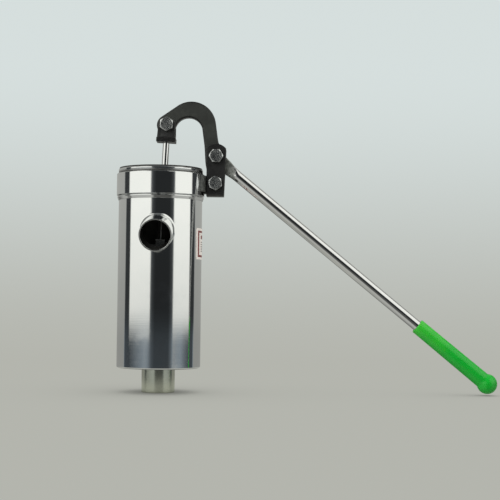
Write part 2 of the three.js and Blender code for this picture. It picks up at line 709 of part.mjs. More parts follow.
function flap() {
  const bottom = FLAP_TOP - FLAP_T;
  const tab = block(HINGE_X, -10, -FLAP_HALF_W, FLAP_HALF_W, bottom, FLAP_TOP);
  return disc(FLAP_R, bottom, FLAP_TOP, MID)
    .add(tab)
    .add(barY({ x: HINGE_X, z: HINGE_Z }, 3.2, -FLAP_HALF_W, FLAP_HALF_W))
    .subtract(barY({ x: HINGE_X, z: HINGE_Z }, HINGE_PIN_R + SNUG, -THROUGH, THROUGH))
    .subtract(disc(FLAP_SCREW_R + GAP, bottom - 1, FLAP_TOP + 1, FINE));
}

function hingePin() {
  const half = FLAP_HALF_W + 5.1;
  return barY({ x: HINGE_X, z: HINGE_Z }, HINGE_PIN_R, -half, half);
}

function flapScrew() {
  const seat = FLAP_TOP + 2 * GAP + WEIGHT_H;
  return disc(FLAP_SCREW_R, FLOOR_TOP + 1, seat + 1, FINE).add(disc(4, seat, seat + 2.5, FINE));
}

function flapNut() {
  const body = hexagon(4.6, FLOOR_TOP + 1.2, FLAP_TOP - FLAP_T - GAP);
  return body.subtract(disc(FLAP_SCREW_R + SNUG, FLOOR_TOP, FLAP_TOP, FINE));
}

const seatRing = ring(12.5, SEAT_R, FLOOR_TOP + GAP, SEAT_TOP, MID);
const weightBottom = FLAP_TOP + GAP;
const weight = ring(FLAP_SCREW_R + GAP, 12, weightBottom, weightBottom + WEIGHT_H, 24);
add('foot_valve_seat', seatRing, brassy);
add('flap_bracket', hingeBracket(), brassy);
add('flap_hinge_pin', hingePin(), zinc);
add('flap_valve', flap(), blackRubber);
add('flap_weight', weight, castIron);
add('flap_screw', flapScrew(), zinc);
add('flap_nut', flapNut(), zinc);

export default pump;
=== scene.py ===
import json
import math

import bmesh
import bpy
import numpy as np
from mathutils import Matrix, Vector


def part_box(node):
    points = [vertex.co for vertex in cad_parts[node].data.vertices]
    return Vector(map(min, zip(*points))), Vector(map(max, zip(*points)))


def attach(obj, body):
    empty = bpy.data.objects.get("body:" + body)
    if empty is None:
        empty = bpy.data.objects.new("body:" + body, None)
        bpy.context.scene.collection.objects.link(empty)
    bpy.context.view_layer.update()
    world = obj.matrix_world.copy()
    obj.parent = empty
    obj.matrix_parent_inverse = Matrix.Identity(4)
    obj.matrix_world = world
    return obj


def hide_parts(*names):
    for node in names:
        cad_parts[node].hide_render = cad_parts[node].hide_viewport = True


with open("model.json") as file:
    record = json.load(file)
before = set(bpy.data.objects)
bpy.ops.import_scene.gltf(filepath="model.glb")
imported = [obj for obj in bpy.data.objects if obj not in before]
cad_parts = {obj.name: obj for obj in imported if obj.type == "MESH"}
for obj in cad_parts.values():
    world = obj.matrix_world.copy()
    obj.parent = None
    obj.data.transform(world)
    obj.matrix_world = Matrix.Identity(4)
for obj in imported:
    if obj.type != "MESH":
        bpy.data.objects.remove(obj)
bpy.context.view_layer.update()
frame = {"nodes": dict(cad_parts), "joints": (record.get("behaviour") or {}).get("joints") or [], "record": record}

# Hand well pump. Blender objects are in metres, in the CAD frame: +Z up, the handle towards +X, the
# spout towards -Y. Shapes are worked out in millimetres, and piece() scales them.

MM = 0.001
WIDE = 192      # sides of a large round
MEDIUM = 96     # sides of a middle-sized round
SMALL = 48      # sides of a small round
CUT_HALF = 20   # half the length of the bars that cut holes


def low(node):
    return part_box(node)[0] / MM


def high(node):
    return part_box(node)[1] / MM


def span(node):
    return low(node), high(node)


def joint_place(name):
    return Vector(next(j["pos_m"] for j in frame["joints"] if j["name"] == name)) / MM


# ---------------- places and sizes

FULCRUM = joint_place("handle")
CLEVIS_PIN = joint_place("rod_pivot")
HINGE = joint_place("flap_swing")

RECORD = frame["record"]
BODY_OF = {node: body for body, nodes in RECORD["behaviour"]["bodies"].items() for node in nodes}

BARREL_R = high("barrel").x
BARREL_WALL = 1.5
BARREL_BOTTOM = low("barrel").z
BARREL_TOP = high("barrel").z
CLEARANCE = 0.3

MOUTH = next(m for m in RECORD["mounts"] if m["name"] == "spout_mouth")
SPOUT_AXIS = Vector(MOUTH["axis"])
SPOUT_END = Vector((0, *MOUTH["pos_m"][1:])) / MM
SPOUT_R = high("spout").x
SPOUT_WALL = 1.7

ARM_HALF = high("gooseneck_arm").y
BALL_R = high("grip").y
BALL = Vector((high("grip").x - BALL_R, 0, low("grip").z + BALL_R))
HANDLE_DROP = 1.7  # the handle's axis passes this far under the fulcrum
BALL_AT = math.sqrt((BALL - FULCRUM).length_squared - HANDLE_DROP ** 2)
HANDLE_R = 7.0
HANDLE_SLOPE = math.atan2(FULCRUM.z - BALL.z, BALL.x - FULCRUM.x) - math.atan2(HANDLE_DROP, BALL_AT)
WRIST = Vector((0, 0, (low("wrist_pin").z + high("wrist_pin").z) / 2))
ROD_LEAN = math.atan2(CLEVIS_PIN.x - WRIST.x, CLEVIS_PIN.z - WRIST.z)
ROD_LENGTH = (CLEVIS_PIN - WRIST).length

HANDLE_FRAME = Matrix.Translation(FULCRUM * MM) @ Matrix.Rotation(HANDLE_SLOPE, 4, "Y")
ROD_FRAME = Matrix.Translation(CLEVIS_PIN * MM) @ Matrix.Rotation(ROD_LEAN, 4, "Y")

# ---------------- shapes


class Shape:
    """Points in millimetres and faces, with a value from 0 to 1 at each point: how exposed to rubbing it is, which
    dark paint also uses for painted shade on its edges and polished steel for painted shade in its bores.
    """

    def __init__(self, points, faces, wear_and_shade=None):
        self.points = np.asarray(points, float)
        self.faces = [tuple(face) for face in faces]
        self.wear_and_shade = np.zeros(len(self.points)) if wear_and_shade is None else np.asarray(wear_and_shade, float)

    def moved(self, matrix):
        m = np.array(matrix)
        return Shape(self.points @ m[:3, :3].T + m[:3, 3], self.faces, self.wear_and_shade)

    def at(self, x, y, z):
        return self.moved(Matrix.Translation((x, y, z)))

    def turned(self, degrees, axis):
        return self.moved(Matrix.Rotation(math.radians(degrees), 4, axis))

    def __add__(self, other):
        first = len(self.points)
        faces = self.faces + [tuple(i + first for i in face) for face in other.faces]
        wear_and_shade = np.concatenate([self.wear_and_shade, other.wear_and_shade])
        return Shape(np.vstack([self.points, other.points]), faces, wear_and_shade)


def arc(x, z, radius, start, end, steps):
    """Points of an arc, with its angles in degrees."""
    angles = np.radians(np.linspace(start, end, steps + 1))
    return [(x + radius * math.cos(a), z + radius * math.sin(a)) for a in angles]


def rounded(corners, steps=5):
    """The closed outline through (x, z, radius) corners, where radius can be left out."""
    outline = []
    for i, corner in enumerate(corners):
        point = np.array(corner[:2], float)
        radius = corner[2] if len(corner) > 2 else 0
        if radius == 0:
            outline.append(tuple(point))
            continue
        back = np.array(corners[i - 1][:2]) - point
        on = np.array(corners[(i + 1) % len(corners)][:2]) - point
        back, on = back / np.linalg.norm(back), on / np.linalg.norm(on)
        half = math.acos(np.clip(back @ on, -1, 1)) / 2
        centre = point + (back + on) / np.linalg.norm(back + on) * radius / math.sin(half)
        start = point + back * radius / math.tan(half) - centre
        end = point + on * radius / math.tan(half) - centre
        first = math.atan2(start[1], start[0])
        sweep = (math.pi - 2 * half) * np.sign(start[0] * end[1] - start[1] * end[0])
        for angle in np.linspace(first, first + sweep, steps + 1):
            outline.append(tuple(centre + radius * np.array([math.cos(angle), math.sin(angle)])))
    return outline


def lathe(profile, sides=MEDIUM):
    """A closed profile of (radius, height) points turned about Z. It may touch the axis."""
    points, rings = [], []
    for radius, height in profile:
        first = len(points)
        if radius < 1e-6:
            points.append((0, 0, height))
            rings.append([first] * sides)
            continue
        for i in range(sides):
            angle = 2 * math.pi * i / sides
            points.append((radius * math.cos(angle), radius * math.sin(angle), height))
        rings.append(list(range(first, first + sides)))
    faces = []
    for a, b in zip(rings, rings[1:] + rings[:1]):
        for i in range(sides):
            j = (i + 1) % sides
            face = list(dict.fromkeys([a[i], a[j], b[j], b[i]]))
            if len(face) > 2:
                faces.append(face)
    return Shape(points, faces)


def tube(inner, outer, bottom, top, edge=0.2, sides=MEDIUM):
    corners = [(inner, bottom, edge), (outer, bottom, edge), (outer, top, edge), (inner, top, edge)]
    return lathe(rounded(corners, 3), sides)


def rod(radius, bottom, top, edge=0.2, sides=SMALL):
    return lathe([(0, bottom), *rounded_side(radius, bottom, top, edge), (0, top)], sides)


def rounded_side(radius, bottom, top, edge):
    low_edge = arc(radius - edge, bottom + edge, edge, -90, 0, 3)
    return low_edge + arc(radius - edge, top - edge, edge, 0, 90, 3)


def loft(rings, closed=False, wear_and_shade=None):
    """A skin through rings of as many points each. Left open, it has a flat face at each end."""
    count = len(rings[0])
    faces = []
    for k in range(len(rings) if closed else len(rings) - 1):
        a, b = k * count, (k + 1) % len(rings) * count
        for i in range(count):
            j = (i + 1) % count
            faces.append((a + i, a + j, b + j, b + i))
    if not closed:
        last = (len(rings) - 1) * count
        faces += [tuple(range(count)), tuple(range(last, last + count))]
    points = np.concatenate([np.asarray(ring, float) for ring in rings])
    return Shape(points, faces, None if wear_and_shade is None else np.repeat(wear_and_shade, count))


def inset(outline, depth):
    """An outline moved inwards by depth."""
    p = np.asarray(outline, float)
    area = np.sum(p[:, 0] * np.roll(p[:, 1], -1) - np.roll(p[:, 0], -1) * p[:, 1])
    along = np.roll(p, -1, 0) - p
    along /= np.linalg.norm(along, axis=1)[:, None]
    normal = np.stack([-along[:, 1], along[:, 0]], 1) * np.sign(area)
    before = np.roll(normal, 1, 0)
    mitre = (normal + before) / (1 + np.sum(normal * before, 1))[:, None]
    return p + mitre * depth


def plate(outline, y0, y1, edge, steps=5):
    """An outline in the XZ plane given thickness along Y, with its long edges rounded."""
    # A mask that peaks mid-way round the rounded edges, for rubbed paint and painted shade there.
    rings, wear_and_shade = [], []
    quarter = np.linspace(0, 90, steps + 1)
    for face, inwards, angles in ((y0, 1, quarter[::-1]), (y1, -1, quarter)):
        for angle in np.radians(angles):
            flat = inset(outline, edge * (1 - math.cos(angle)))
            y = np.full(len(flat), face + inwards * edge * (1 - math.sin(angle)))
            rings.append(np.stack([flat[:, 0], y, flat[:, 1]], 1))
            wear_and_shade.append(math.sin(2 * angle))
    return loft(rings, wear_and_shade=wear_and_shade)


def slab(x0, x1, y0, y1, z0, z1):
    return loft([[(x, y0, z0), (x, y1, z0), (x, y1, z1), (x, y0, z1)] for x in (x0, x1)])


def pin_y(at, radius):
    """A round bar along Y through a point of the XZ plane, for cutting holes."""
    return rod(radius, -CUT_HALF, CUT_HALF, 0.01).turned(90, "X").at(at[0], 0, at[-1])


def scratch_object(shape):
    mesh = bpy.data.meshes.new("scratch")
    mesh.from_pydata(shape.points.tolist(), [], shape.faces)
    wear_and_shade = mesh.attributes.new("wear_and_shade", "FLOAT", "POINT")
    wear_and_shade.data.foreach_set("value", shape.wear_and_shade.astype(np.float32))
    mesh.validate()
    body = bmesh.new()
    body.from_mesh(mesh)
    bmesh.ops.recalc_face_normals(body, faces=body.faces)
    body.to_mesh(mesh)
    body.free()
    scratch = bpy.data.objects.new("scratch", mesh)
    bpy.context.scene.collection.objects.link(scratch)
    return scratch


def applied(scratch, helpers=()):
    """The shape that a scratch object's modifiers make. The scratch objects are removed."""
    evaluated = scratch.evaluated_get(bpy.context.evaluated_depsgraph_get())
    mesh = bpy.data.meshes.new_from_object(evaluated)
    points = [v.co[:] for v in mesh.vertices]
    faces = [p.vertices[:] for p in mesh.polygons]
    wear_and_shade = np.zeros(len(points))
    if "wear_and_shade" in mesh.attributes:
        mesh.attributes["wear_and_shade"].data.foreach_get("value", wear_and_shade)
    for extra in (scratch, *helpers):
        bpy.data.objects.remove(extra)
    return Shape(points, faces, wear_and_shade)


def boolean(operation, shape, *others):
    target = scratch_object(shape)
    helpers = [scratch_object(other) for other in others]
    for helper in helpers:
        cut = target.modifiers.new("boolean", "BOOLEAN")
        cut.operation = operation
        cut.solver = "EXACT"
        cut.object = helper
    return applied(target, helpers)


def cut(shape, *others):
    return boolean("DIFFERENCE", shape, *others)


def joined(shape, *others):
    return boolean("UNION", shape, *others)


def eased(shape, width, segments=2, above=35):
    """The shape with its edges rounded, where its faces meet at more than above degrees."""
    target = scratch_object(shape)
    bevel = target.modifiers.new("bevel", "BEVEL")
    bevel.width = width
    bevel.segments = segments
    bevel.limit_method = "ANGLE"
    bevel.angle_limit = math.radians(above)
    return applied(target)


def cad_shape(node):
    """A CAD node's own mesh, with its flat faces merged."""
    source = frame["nodes"][node].data
    body = bmesh.new()
    body.from_mesh(source)
    bmesh.ops.remove_doubles(body, verts=body.verts, dist=1e-6)
    bmesh.ops.dissolve_limit(body, angle_limit=math.radians(1), verts=body.verts, edges=body.edges)
    points = [v.co / MM for v in body.verts]
    faces = [[v.index for v in face.verts] for face in body.faces]
    body.free()
    return Shape(points, faces)


def piece(name, shape, look, body, nodes, place, sharp):
    """A shape as a smooth-shaded piece that rides on a body and stands for CAD nodes.

    Each point keeps its place before the piece was put in position, for the grain of its look.
    """
    made = scratch_object(Shape(shape.points * MM, shape.faces, shape.wear_and_shade).moved(place))
    made.name = made.data.name = name
    local = made.data.attributes.new("place", "FLOAT_VECTOR", "POINT")
    local.data.foreach_set("vector", (shape.points * MM).astype(np.float32).ravel())
    for face in made.data.polygons:
        face.use_smooth = True
    made.data.set_sharp_from_angle(angle=math.radians(sharp))
    made.data.materials.append(look)
    weighted = made.modifiers.new("normals", "WEIGHTED_NORMAL")
    weighted.keep_sharp = True
    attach(made, body)
    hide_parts(*nodes)
    return made


def part(node, shape, look, place=Matrix.Identity(4), sharp=32):
    """The piece that stands for one CAD node and has its name and its body."""
    return piece(node, shape, look, BODY_OF[node], [node], place, sharp)


def turned_part(node, corners, steps, look, sides=MEDIUM):
    """A part turned on a lathe, from the corners of its section."""
    part(node, lathe(rounded(corners, steps), sides), look)


def eased_part(node, width, look):
    """A CAD node's own shape with its edges rounded."""
    part(node, eased(cad_shape(node), width), look)


# ---------------- shader trees


class Tree:
    """A node tree with short calls for the nodes that the materials share."""

    def __init__(self, tree):
        self.nodes, self.links = tree.nodes, tree.links
        self.nodes.clear()

    def add(self, kind, inputs=None, **settings):
        node = self.nodes.new(kind)
        for key, value in settings.items():
            setattr(node, key, value)
        for key, value in (inputs or {}).items():
            self.feed(node.inputs[key], value)
        return node

    def feed(self, socket, value):
        if isinstance(value, bpy.types.NodeSocket):
            self.links.new(value, socket)
        else:
            socket.default_value = value

    def math(self, operation, a, b=0.0, c=0.0):
        return self.add("ShaderNodeMath", {0: a, 1: b, 2: c}, operation=operation).outputs[0]

    def between(self, value, start, end, to_start=0.0, to_end=1.0):
        """A smooth step from to_start to to_end as value goes from start to end."""
        inputs = {"Value": value, "From Min": start, "From Max": end,
                  "To Min": to_start, "To Max": to_end}
        return self.add("ShaderNodeMapRange", inputs, interpolation_type="SMOOTHSTEP").outputs[0]

    def mix(self, factor, a, b):
        node = self.add("ShaderNodeMix", {0: factor}, data_type="RGBA")
        self.feed(node.inputs[6], a)
        self.feed(node.inputs[7], b)
        return node.outputs[2]

    def bands(self, value, stops):
        """A grey level that follows (position, level) stops along value, straight between them."""
        node = self.add("ShaderNodeFloatCurve", {"Value": value})
        curve = node.mapping.curves[0]
        while len(curve.points) < len(stops):
            curve.points.new(0.5, 0.5)
        for point, (at, level) in zip(curve.points, stops):
            point.location = (at, level)
            point.handle_type = "VECTOR"
        node.mapping.update()
        return node.outputs[0]

    def place(self, stretch=(1, 1, 1)):
        """The piece's own coordinates in metres, stretched for streaks."""
        where = self.add("ShaderNodeAttribute", attribute_name="place").outputs["Vector"]
        return self.add("ShaderNodeMapping", {"Vector": where, "Scale": stretch}).outputs[0]

    def noise(self, scale, detail=3.0, rough=0.5, stretch=(1, 1, 1)):
        inputs = {"Vector": self.place(stretch), "Scale": scale, "Detail": detail, "Roughness": rough}
        return self.add("ShaderNodeTexNoise", inputs).outputs["Fac"]

    def bump(self, height, strength, distance, under=None):
        inputs = {"Height": height, "Strength": strength, "Distance": distance}
        if under is not None:
            inputs["Normal"] = under
        return self.add("ShaderNodeBump", inputs).outputs[0]


def new_look(name):
    material = bpy.data.materials.new(name)
    material.use_nodes = True
    return material, Tree(material.node_tree)


def surface(t, constants, linked):
    shader = t.add("ShaderNodeBsdfPrincipled", {**constants, **linked})
    t.links.new(shader.outputs[0], t.add("ShaderNodeOutputMaterial").inputs[0])


def grey(level, tint=(1, 1, 1)):
    return (*(level * c for c in tint), 1)


# ---------------- looks


def polished_metal(name, bright, dull, gloss, streaks, waviness):
    """Mirror-polished metal: fine polishing streaks, faint smudges and a hand-polished waviness.

    In a bore that was never polished, where the piece's mask is 1, it is rough, and its colour is painted shade: a
    mottled near-black for the dim inside.
    """
    material, t = new_look(name)
    bore_unpolished_and_shaded = t.add("ShaderNodeAttribute", attribute_name="wear_and_shade").outputs["Fac"]
    smudge = t.between(t.noise(26, 4, 0.6), 0.5, 0.75)
    streak = t.noise(60, 4, 0.6, streaks)
    shine = t.math("MULTIPLY_ADD", streak, 0.06, gloss)
    shine = t.math("MULTIPLY_ADD", smudge, 0.07, shine)
    rough = t.math("MULTIPLY_ADD", bore_unpolished_and_shaded, 0.5, shine)
    # Painted shade for the insides of bores: a mottled near-black.
    bore_shade = t.mix(t.between(t.noise(70, 5, 0.7), 0.3, 0.7), grey(0.05), grey(0.10, (1, 0.97, 0.92)))
    colour = t.mix(bore_unpolished_and_shaded, t.mix(t.noise(40, 2), bright, dull), bore_shade)
    lines = t.bump(streak, 0.02, 0.0002)
    normal = t.bump(t.noise(14, 1), waviness, 0.004, lines)
    surface(t, {"Metallic": 1.0}, {"Base Color": colour, "Roughness": rough, "Normal": normal})
    return material


def worked_metal(name, bright, dull, gloss, grain, depth=0.12):
    """Plain unpolished metal with a mottled finish."""
    material, t = new_look(name)
    mottle = t.noise(grain, 5, 0.65)
    rough = t.math("MULTIPLY_ADD", t.noise(grain * 2.5, 3), 0.25, gloss)
    colour = t.mix(t.between(mottle, 0.32, 0.68), bright, dull)
    normal = t.bump(t.noise(grain * 6, 4, 0.6), depth, 0.0003)
    surface(t, {"Metallic": 1.0}, {"Base Color": colour, "Roughness": rough, "Normal": normal})
    return material


def black_paint(name, dark, light, gloss):
    """Semi-gloss dark paint over cast and pressed iron, rubbed through a little along its edges, which also get
    painted shade.
    """
    material, t = new_look(name)
    wear_and_shade = t.add("ShaderNodeAttribute", attribute_name="wear_and_shade").outputs["Fac"]
    patch = t.between(t.noise(420, 5, 0.7), 0.56, 0.7)
    rubbed = t.math("MULTIPLY", t.between(wear_and_shade, 0.5, 1.0), patch)
    shade = t.mix(t.between(t.noise(70, 4, 0.6), 0.3, 0.7), dark, light)
    # Painted shade: where the mask is high, along rounded edges, the paint is darkened towards black.
    shade = t.mix(wear_and_shade, shade, grey(0.010))
    colour = t.mix(t.math("MULTIPLY", rubbed, 0.4), shade, grey(0.12))
    rough = t.math("MULTIPLY_ADD", t.noise(160, 4), 0.16, gloss)
    normal = t.bump(t.noise(500, 3), 0.10, 0.0004, t.bump(t.noise(90, 2), 0.16, 0.0012))
    surface(t, {}, {"Base Color": colour, "Roughness": rough, "Normal": normal})
    return material


def cast_iron(name, dark, light):
    material, t = new_look(name)
    colour = t.mix(t.between(t.noise(130, 6, 0.7), 0.3, 0.7), dark, light)
    rough = t.math("MULTIPLY_ADD", t.noise(300, 4), 0.3, 0.38)
    normal = t.bump(t.noise(700, 5, 0.7), 0.5, 0.0006)
    surface(t, {"Metallic": 0.35}, {"Base Color": colour, "Roughness": rough, "Normal": normal})
    return material


def tube_and_tang():
    """The handle: a dull flattened tang that turns to bright chrome along the tube."""
    material, t = new_look("handle_chrome")
    along, _, rise = t.add("ShaderNodeSeparateXYZ", {0: t.place()}).outputs
    ragged = t.math("MULTIPLY_ADD", t.noise(120, 4, 0.6), 0.012, along)
    chrome = t.between(t.math("MULTIPLY_ADD", rise, 0.9, ragged), 0.034, 0.042)
    mottle = t.between(t.noise(260, 5, 0.7), 0.35, 0.65)
    dull = t.mix(mottle, grey(0.22, (0.95, 1, 0.92)), grey(0.44, (0.97, 1, 0.94)))
    bright = t.mix(t.noise(60, 2), grey(0.82), grey(0.76))
    colour = t.mix(chrome, dull, bright)
    streak = t.noise(80, 4, 0.6, (2, 30, 30))
    dull_rough = t.math("MULTIPLY_ADD", mottle, 0.2, 0.38)
    bright_rough = t.math("MULTIPLY_ADD", streak, 0.05, 0.06)
    rough = t.add("ShaderNodeMix", {0: chrome, 2: dull_rough, 3: bright_rough}).outputs[0]
    pits = t.bump(t.noise(900, 3), t.between(chrome, 0, 1, 0.35, 0.02), 0.0004)
    metallic = t.between(chrome, 0, 1, 0.6, 1.0)
    linked = {"Base Color": colour, "Metallic": metallic, "Roughness": rough, "Normal": pits}
    surface(t, {}, linked)
    return material


def green_vinyl():
    """Glossy dipped vinyl, a little uneven in colour, with faint flow lines along it."""
    material, t = new_look("green_vinyl")
    along = t.add("ShaderNodeSeparateXYZ", {0: t.place()}).outputs[0]
    ragged = t.math("MULTIPLY_ADD", t.noise(45, 3), 0.08, along)
    older = t.mix(t.noise(45, 3), (0.035, 0.60, 0.035, 1), (0.075, 0.72, 0.055, 1))
    fresh = t.mix(t.noise(60, 3), (0.004, 0.48, 0.030, 1), (0.012, 0.60, 0.050, 1))
    colour = t.mix(t.between(ragged, 0.38, 0.44), older, fresh)
    flow = t.noise(90, 3, 0.6, (0.25, 1, 1))
    rough = t.math("MULTIPLY_ADD", flow, 0.14, 0.26)
    normal = t.bump(t.noise(300, 2), 0.03, 0.0003, t.bump(flow, 0.08, 0.0016))
    linked = {"Base Color": colour, "Roughness": rough, "Normal": normal}
    surface(t, {"Subsurface Weight": 0.12, "Subsurface Scale": 0.004}, linked)
    return material


def soft_polymer(name, dark, light, gloss, grain):
    material, t = new_look(name)
    colour = t.mix(t.between(t.noise(grain, 4, 0.6), 0.3, 0.7), dark, light)
    rough = t.math("MULTIPLY_ADD", t.noise(grain * 3, 3), 0.2, gloss)
    normal = t.bump(t.noise(grain * 8, 3), 0.15, 0.0004)
    surface(t, {}, {"Base Color": colour, "Roughness": rough, "Normal": normal})
    return material


def label_print():
    """A printed paper label: a cream margin, a red frame and plain bars that stand for text.

    The paper glows a little: painted light that brightens it.
    """
    material, t = new_look("label_print")
    u, v, _ = t.add("ShaderNodeSeparateXYZ", {0: t.add("ShaderNodeTexCoord").outputs["UV"]}).outputs

    def inside(value, start, end):
        above = t.math("GREATER_THAN", value, start)
        return t.math("MULTIPLY", above, t.math("LESS_THAN", value, end))

    def box(u0, u1, v0, v1):
        return t.math("MULTIPLY", inside(u, u0, u1), inside(v, v0, v1))

    cream, red, ink = (0.95, 0.87, 0.82, 1), (0.20, 0.022, 0.022, 1), (0.07, 0.05, 0.05, 1)
    colour = t.mix(box(0.065, 0.935, 0.075, 0.925), cream, red)
    colour = t.mix(box(0.135, 0.865, 0.14, 0.86), colour, cream)
    colour = t.mix(box(0.24, 0.76, 0.66, 0.78), colour, red)
    rows = t.math("FRACT", t.math("MULTIPLY", v, 14.0))
    bars = t.math("MULTIPLY", box(0.24, 0.76, 0.22, 0.57), t.math("GREATER_THAN", rows, 0.62))
    colour = t.mix(bars, colour, ink)
    fibres = t.noise(900, 5, 0.7)
    colour = t.mix(t.math("MULTIPLY", fibres, 0.08), colour, grey(0.35, (1, 0.95, 0.85)))
    rough = t.math("MULTIPLY_ADD", fibres, 0.25, 0.3)
    # Painted light: the label glows faintly in its own colour.
    linked = {"Base Color": colour, "Emission Color": colour, "Roughness": rough,
              "Normal": t.bump(fibres, 0.2, 0.0002)}
    surface(t, {"Emission Strength": 0.2}, linked)
    return material


ROUND_STREAKS = (0.4, 0.4, 14)   # polishing marks that run round the barrel
LENGTH_STREAKS = (14, 14, 0.4)   # drawing marks along a bar
BARREL_STEEL = polished_metal("barrel_steel", grey(0.84), grey(0.80, (0.98, 1, 1)), 0.03,
                              ROUND_STREAKS, 0.025)
SOCKET_STEEL = polished_metal("socket_steel", grey(0.66, (0.97, 1, 0.86)),
                              grey(0.56, (0.97, 1, 0.84)), 0.14, ROUND_STREAKS, 0.03)
ROD_STEEL = polished_metal("rod_steel", grey(0.82), grey(0.76), 0.05, LENGTH_STREAKS, 0.03)
PLAIN_STEEL = worked_metal("plain_steel", grey(0.62, (1, 1, 0.96)),
                           grey(0.48, (1, 1, 0.95)), 0.16, 90)
ZINC = worked_metal("zinc", grey(0.84, (0.98, 1, 1)), grey(0.55, (0.98, 1, 1)), 0.14, 120, 0.8)
WELD_STEEL = worked_metal("weld_steel", grey(0.50, (1, 0.98, 0.92)),
                          grey(0.38, (1, 0.96, 0.88)), 0.18, 300)
BRASS = worked_metal("brass", (0.62, 0.43, 0.17, 1), (0.42, 0.27, 0.10, 1), 0.2, 120)
ARM_PAINT = black_paint("arm_paint", grey(0.040, (0.95, 1, 0.92)), grey(0.060, (0.93, 1, 0.9)), 0.30)
STRAP_PAINT = black_paint("strap_paint", grey(0.016), grey(0.028), 0.30)
CLEVIS_PAINT = black_paint("clevis_paint", grey(0.042), grey(0.075, (0.96, 1, 0.96)), 0.28)
CASTING = cast_iron("dark_casting", grey(0.05), grey(0.26, (0.95, 1, 0.92)))
WEIGHT_IRON = cast_iron("weight_iron", grey(0.05), grey(0.1, (1.05, 1, 0.95)))
HANDLE_CHROME = tube_and_tang()
GREEN_VINYL = green_vinyl()
RUBBER = soft_polymer("black_rubber", grey(0.012), grey(0.022), 0.45, 150)
NYLON = soft_polymer("grey_nylon", grey(0.24), grey(0.30), 0.35, 90)
LABEL = label_print()

# ---------------- barrel and inlet


def thread_profile(bottom, top, crest, root, pitch):
    """Points up a bore or a stud, in and out between its crest and its root."""
    turns = int((top - bottom) / pitch)
    corners = [(crest, 0), (crest, 0.12), (root, 0.5), (root, 0.62)]  # in shares of the pitch
    points = [(r, bottom + (i + share) * pitch) for i in range(turns) for r, share in corners]
    return points + [(crest, bottom + turns * pitch)]


def inlet_socket():
    outer, bore = high("inlet_socket").x, 15.6
    top = high("inlet_socket").z
    wall = rounded([(bore + 1.2, 0), (outer, 0, 0.8), (outer, top), (bore, top)], 4)
    pitch, depth = 2.31, 1.1
    thread = thread_profile(1.6, 22, bore, bore + depth, pitch)
    shape = lathe(wall + thread[::-1], MEDIUM)
    bead = weld_ring(outer - 0.1, top - 1.4, 0.8)
    part("inlet_socket", shape, SOCKET_STEEL)
    piece("inlet_weld", bead, WELD_STEEL, "pump_body", [], Matrix.Identity(4), 32)


def weld_ring(radius, height, size):
    """A weld bead with ripples, round a socket."""
    ripples, depth, sides = 48, 0.10, 10
    rings = []
    for k in range(360):
        angle = math.radians(k)
        thick = size * (1 + depth * math.sin(ripples * angle))
        section = []
        for j in range(sides):
            around = 2 * math.pi * j / sides
            r = radius + thick * math.cos(around)
            rise = 0.8 * thick * math.sin(around)
            section.append((r * math.cos(angle), r * math.sin(angle), height + rise))
        rings.append(section)
    return loft(rings, closed=True)


def barrel():
    inner = BARREL_R - BARREL_WALL
    lip = 49.5  # the wall turns in under the floor plate to this radius
    profile = rounded([
        (lip, BARREL_BOTTOM, 0.3), (BARREL_R, BARREL_BOTTOM, 2.0), (BARREL_R, BARREL_TOP, 0.3),
        (inner, BARREL_TOP, 0.3), (inner, BARREL_BOTTOM + BARREL_WALL, 0.9),
        (lip, BARREL_BOTTOM + BARREL_WALL, 0.3),
    ], 6)
    tube_shape = lathe(profile, WIDE)
    bore = rod(SPOUT_R - SPOUT_WALL, -60, 0, 0.1, MEDIUM)
    face_out = SPOUT_AXIS.to_track_quat("Z", "Y").to_matrix().to_4x4()
    bore = bore.moved(Matrix.Translation(SPOUT_END) @ face_out)
    shape = cut(tube_shape, bore)
    radius = np.hypot(shape.points[:, 0], shape.points[:, 1])
    # The inner faces: unpolished, and painted dark as shade by the steel's look.
    shape.wear_and_shade = (radius < BARREL_R - 0.6).astype(float)
    part("barrel", shape, BARREL_STEEL)
    lo, hi = span("floor_plate")
    hole = 13.0
    plate_shape = tube(hole, hi.x, lo.z, hi.z, 0.4, WIDE)
    part("floor_plate", plate_shape, PLAIN_STEEL)


def spout():
    """The spout: a short tube that meets the barrel's skin in a small polished fillet."""
    across = Vector((1, 0, 0))
    upward = SPOUT_AXIS.cross(across)
    flare, edge = 2.4, 0.5

    def ring(radius, from_mouth=None, from_skin=None, skin=BARREL_R):
        points = []
        for k in range(MEDIUM):
            angle = 2 * math.pi * k / MEDIUM
            point = SPOUT_END + radius * (math.cos(angle) * across + math.sin(angle) * upward)
            if from_mouth is None:
                reach = (-math.sqrt(skin ** 2 - point.x ** 2) - point.y) / SPOUT_AXIS.y
                point += (reach + from_skin) * SPOUT_AXIS
            else:
                point -= from_mouth * SPOUT_AXIS
            points.append(tuple(point))
        return points

    inner = SPOUT_R - SPOUT_WALL
    rings = []
    for angle in np.radians(np.linspace(0, 90, 7)):
        radius = SPOUT_R + flare * (1 - math.sin(angle))
        rings.append(ring(radius, from_skin=flare * (1 - math.cos(angle)) - 0.05))
    for angle in np.radians(np.linspace(0, 90, 5)):
        back = edge * (1 - math.sin(angle))
        rings.append(ring(SPOUT_R - edge * (1 - math.cos(angle)), from_mouth=back))
    for angle in np.radians(np.linspace(90, 0, 5)):
        back = edge * (1 - math.sin(angle))
        rings.append(ring(inner + edge * (1 - math.cos(angle)), from_mouth=back))
    outside = len(rings)
    rings += [ring(inner, from_mouth=1.0), ring(inner, from_mouth=1.6)]
    rings += [ring(inner, from_mouth=12), ring(inner, from_skin=0, skin=BARREL_R - 0.75)]
    # The spout's bore: unpolished, and painted dark as shade by the steel's look.
    wear_and_shade = [0] * (outside + 1) + [1] * (len(rings) - outside - 1)
    shape = loft(rings, closed=True, wear_and_shade=wear_and_shade)
    part("spout", shape, BARREL_STEEL)


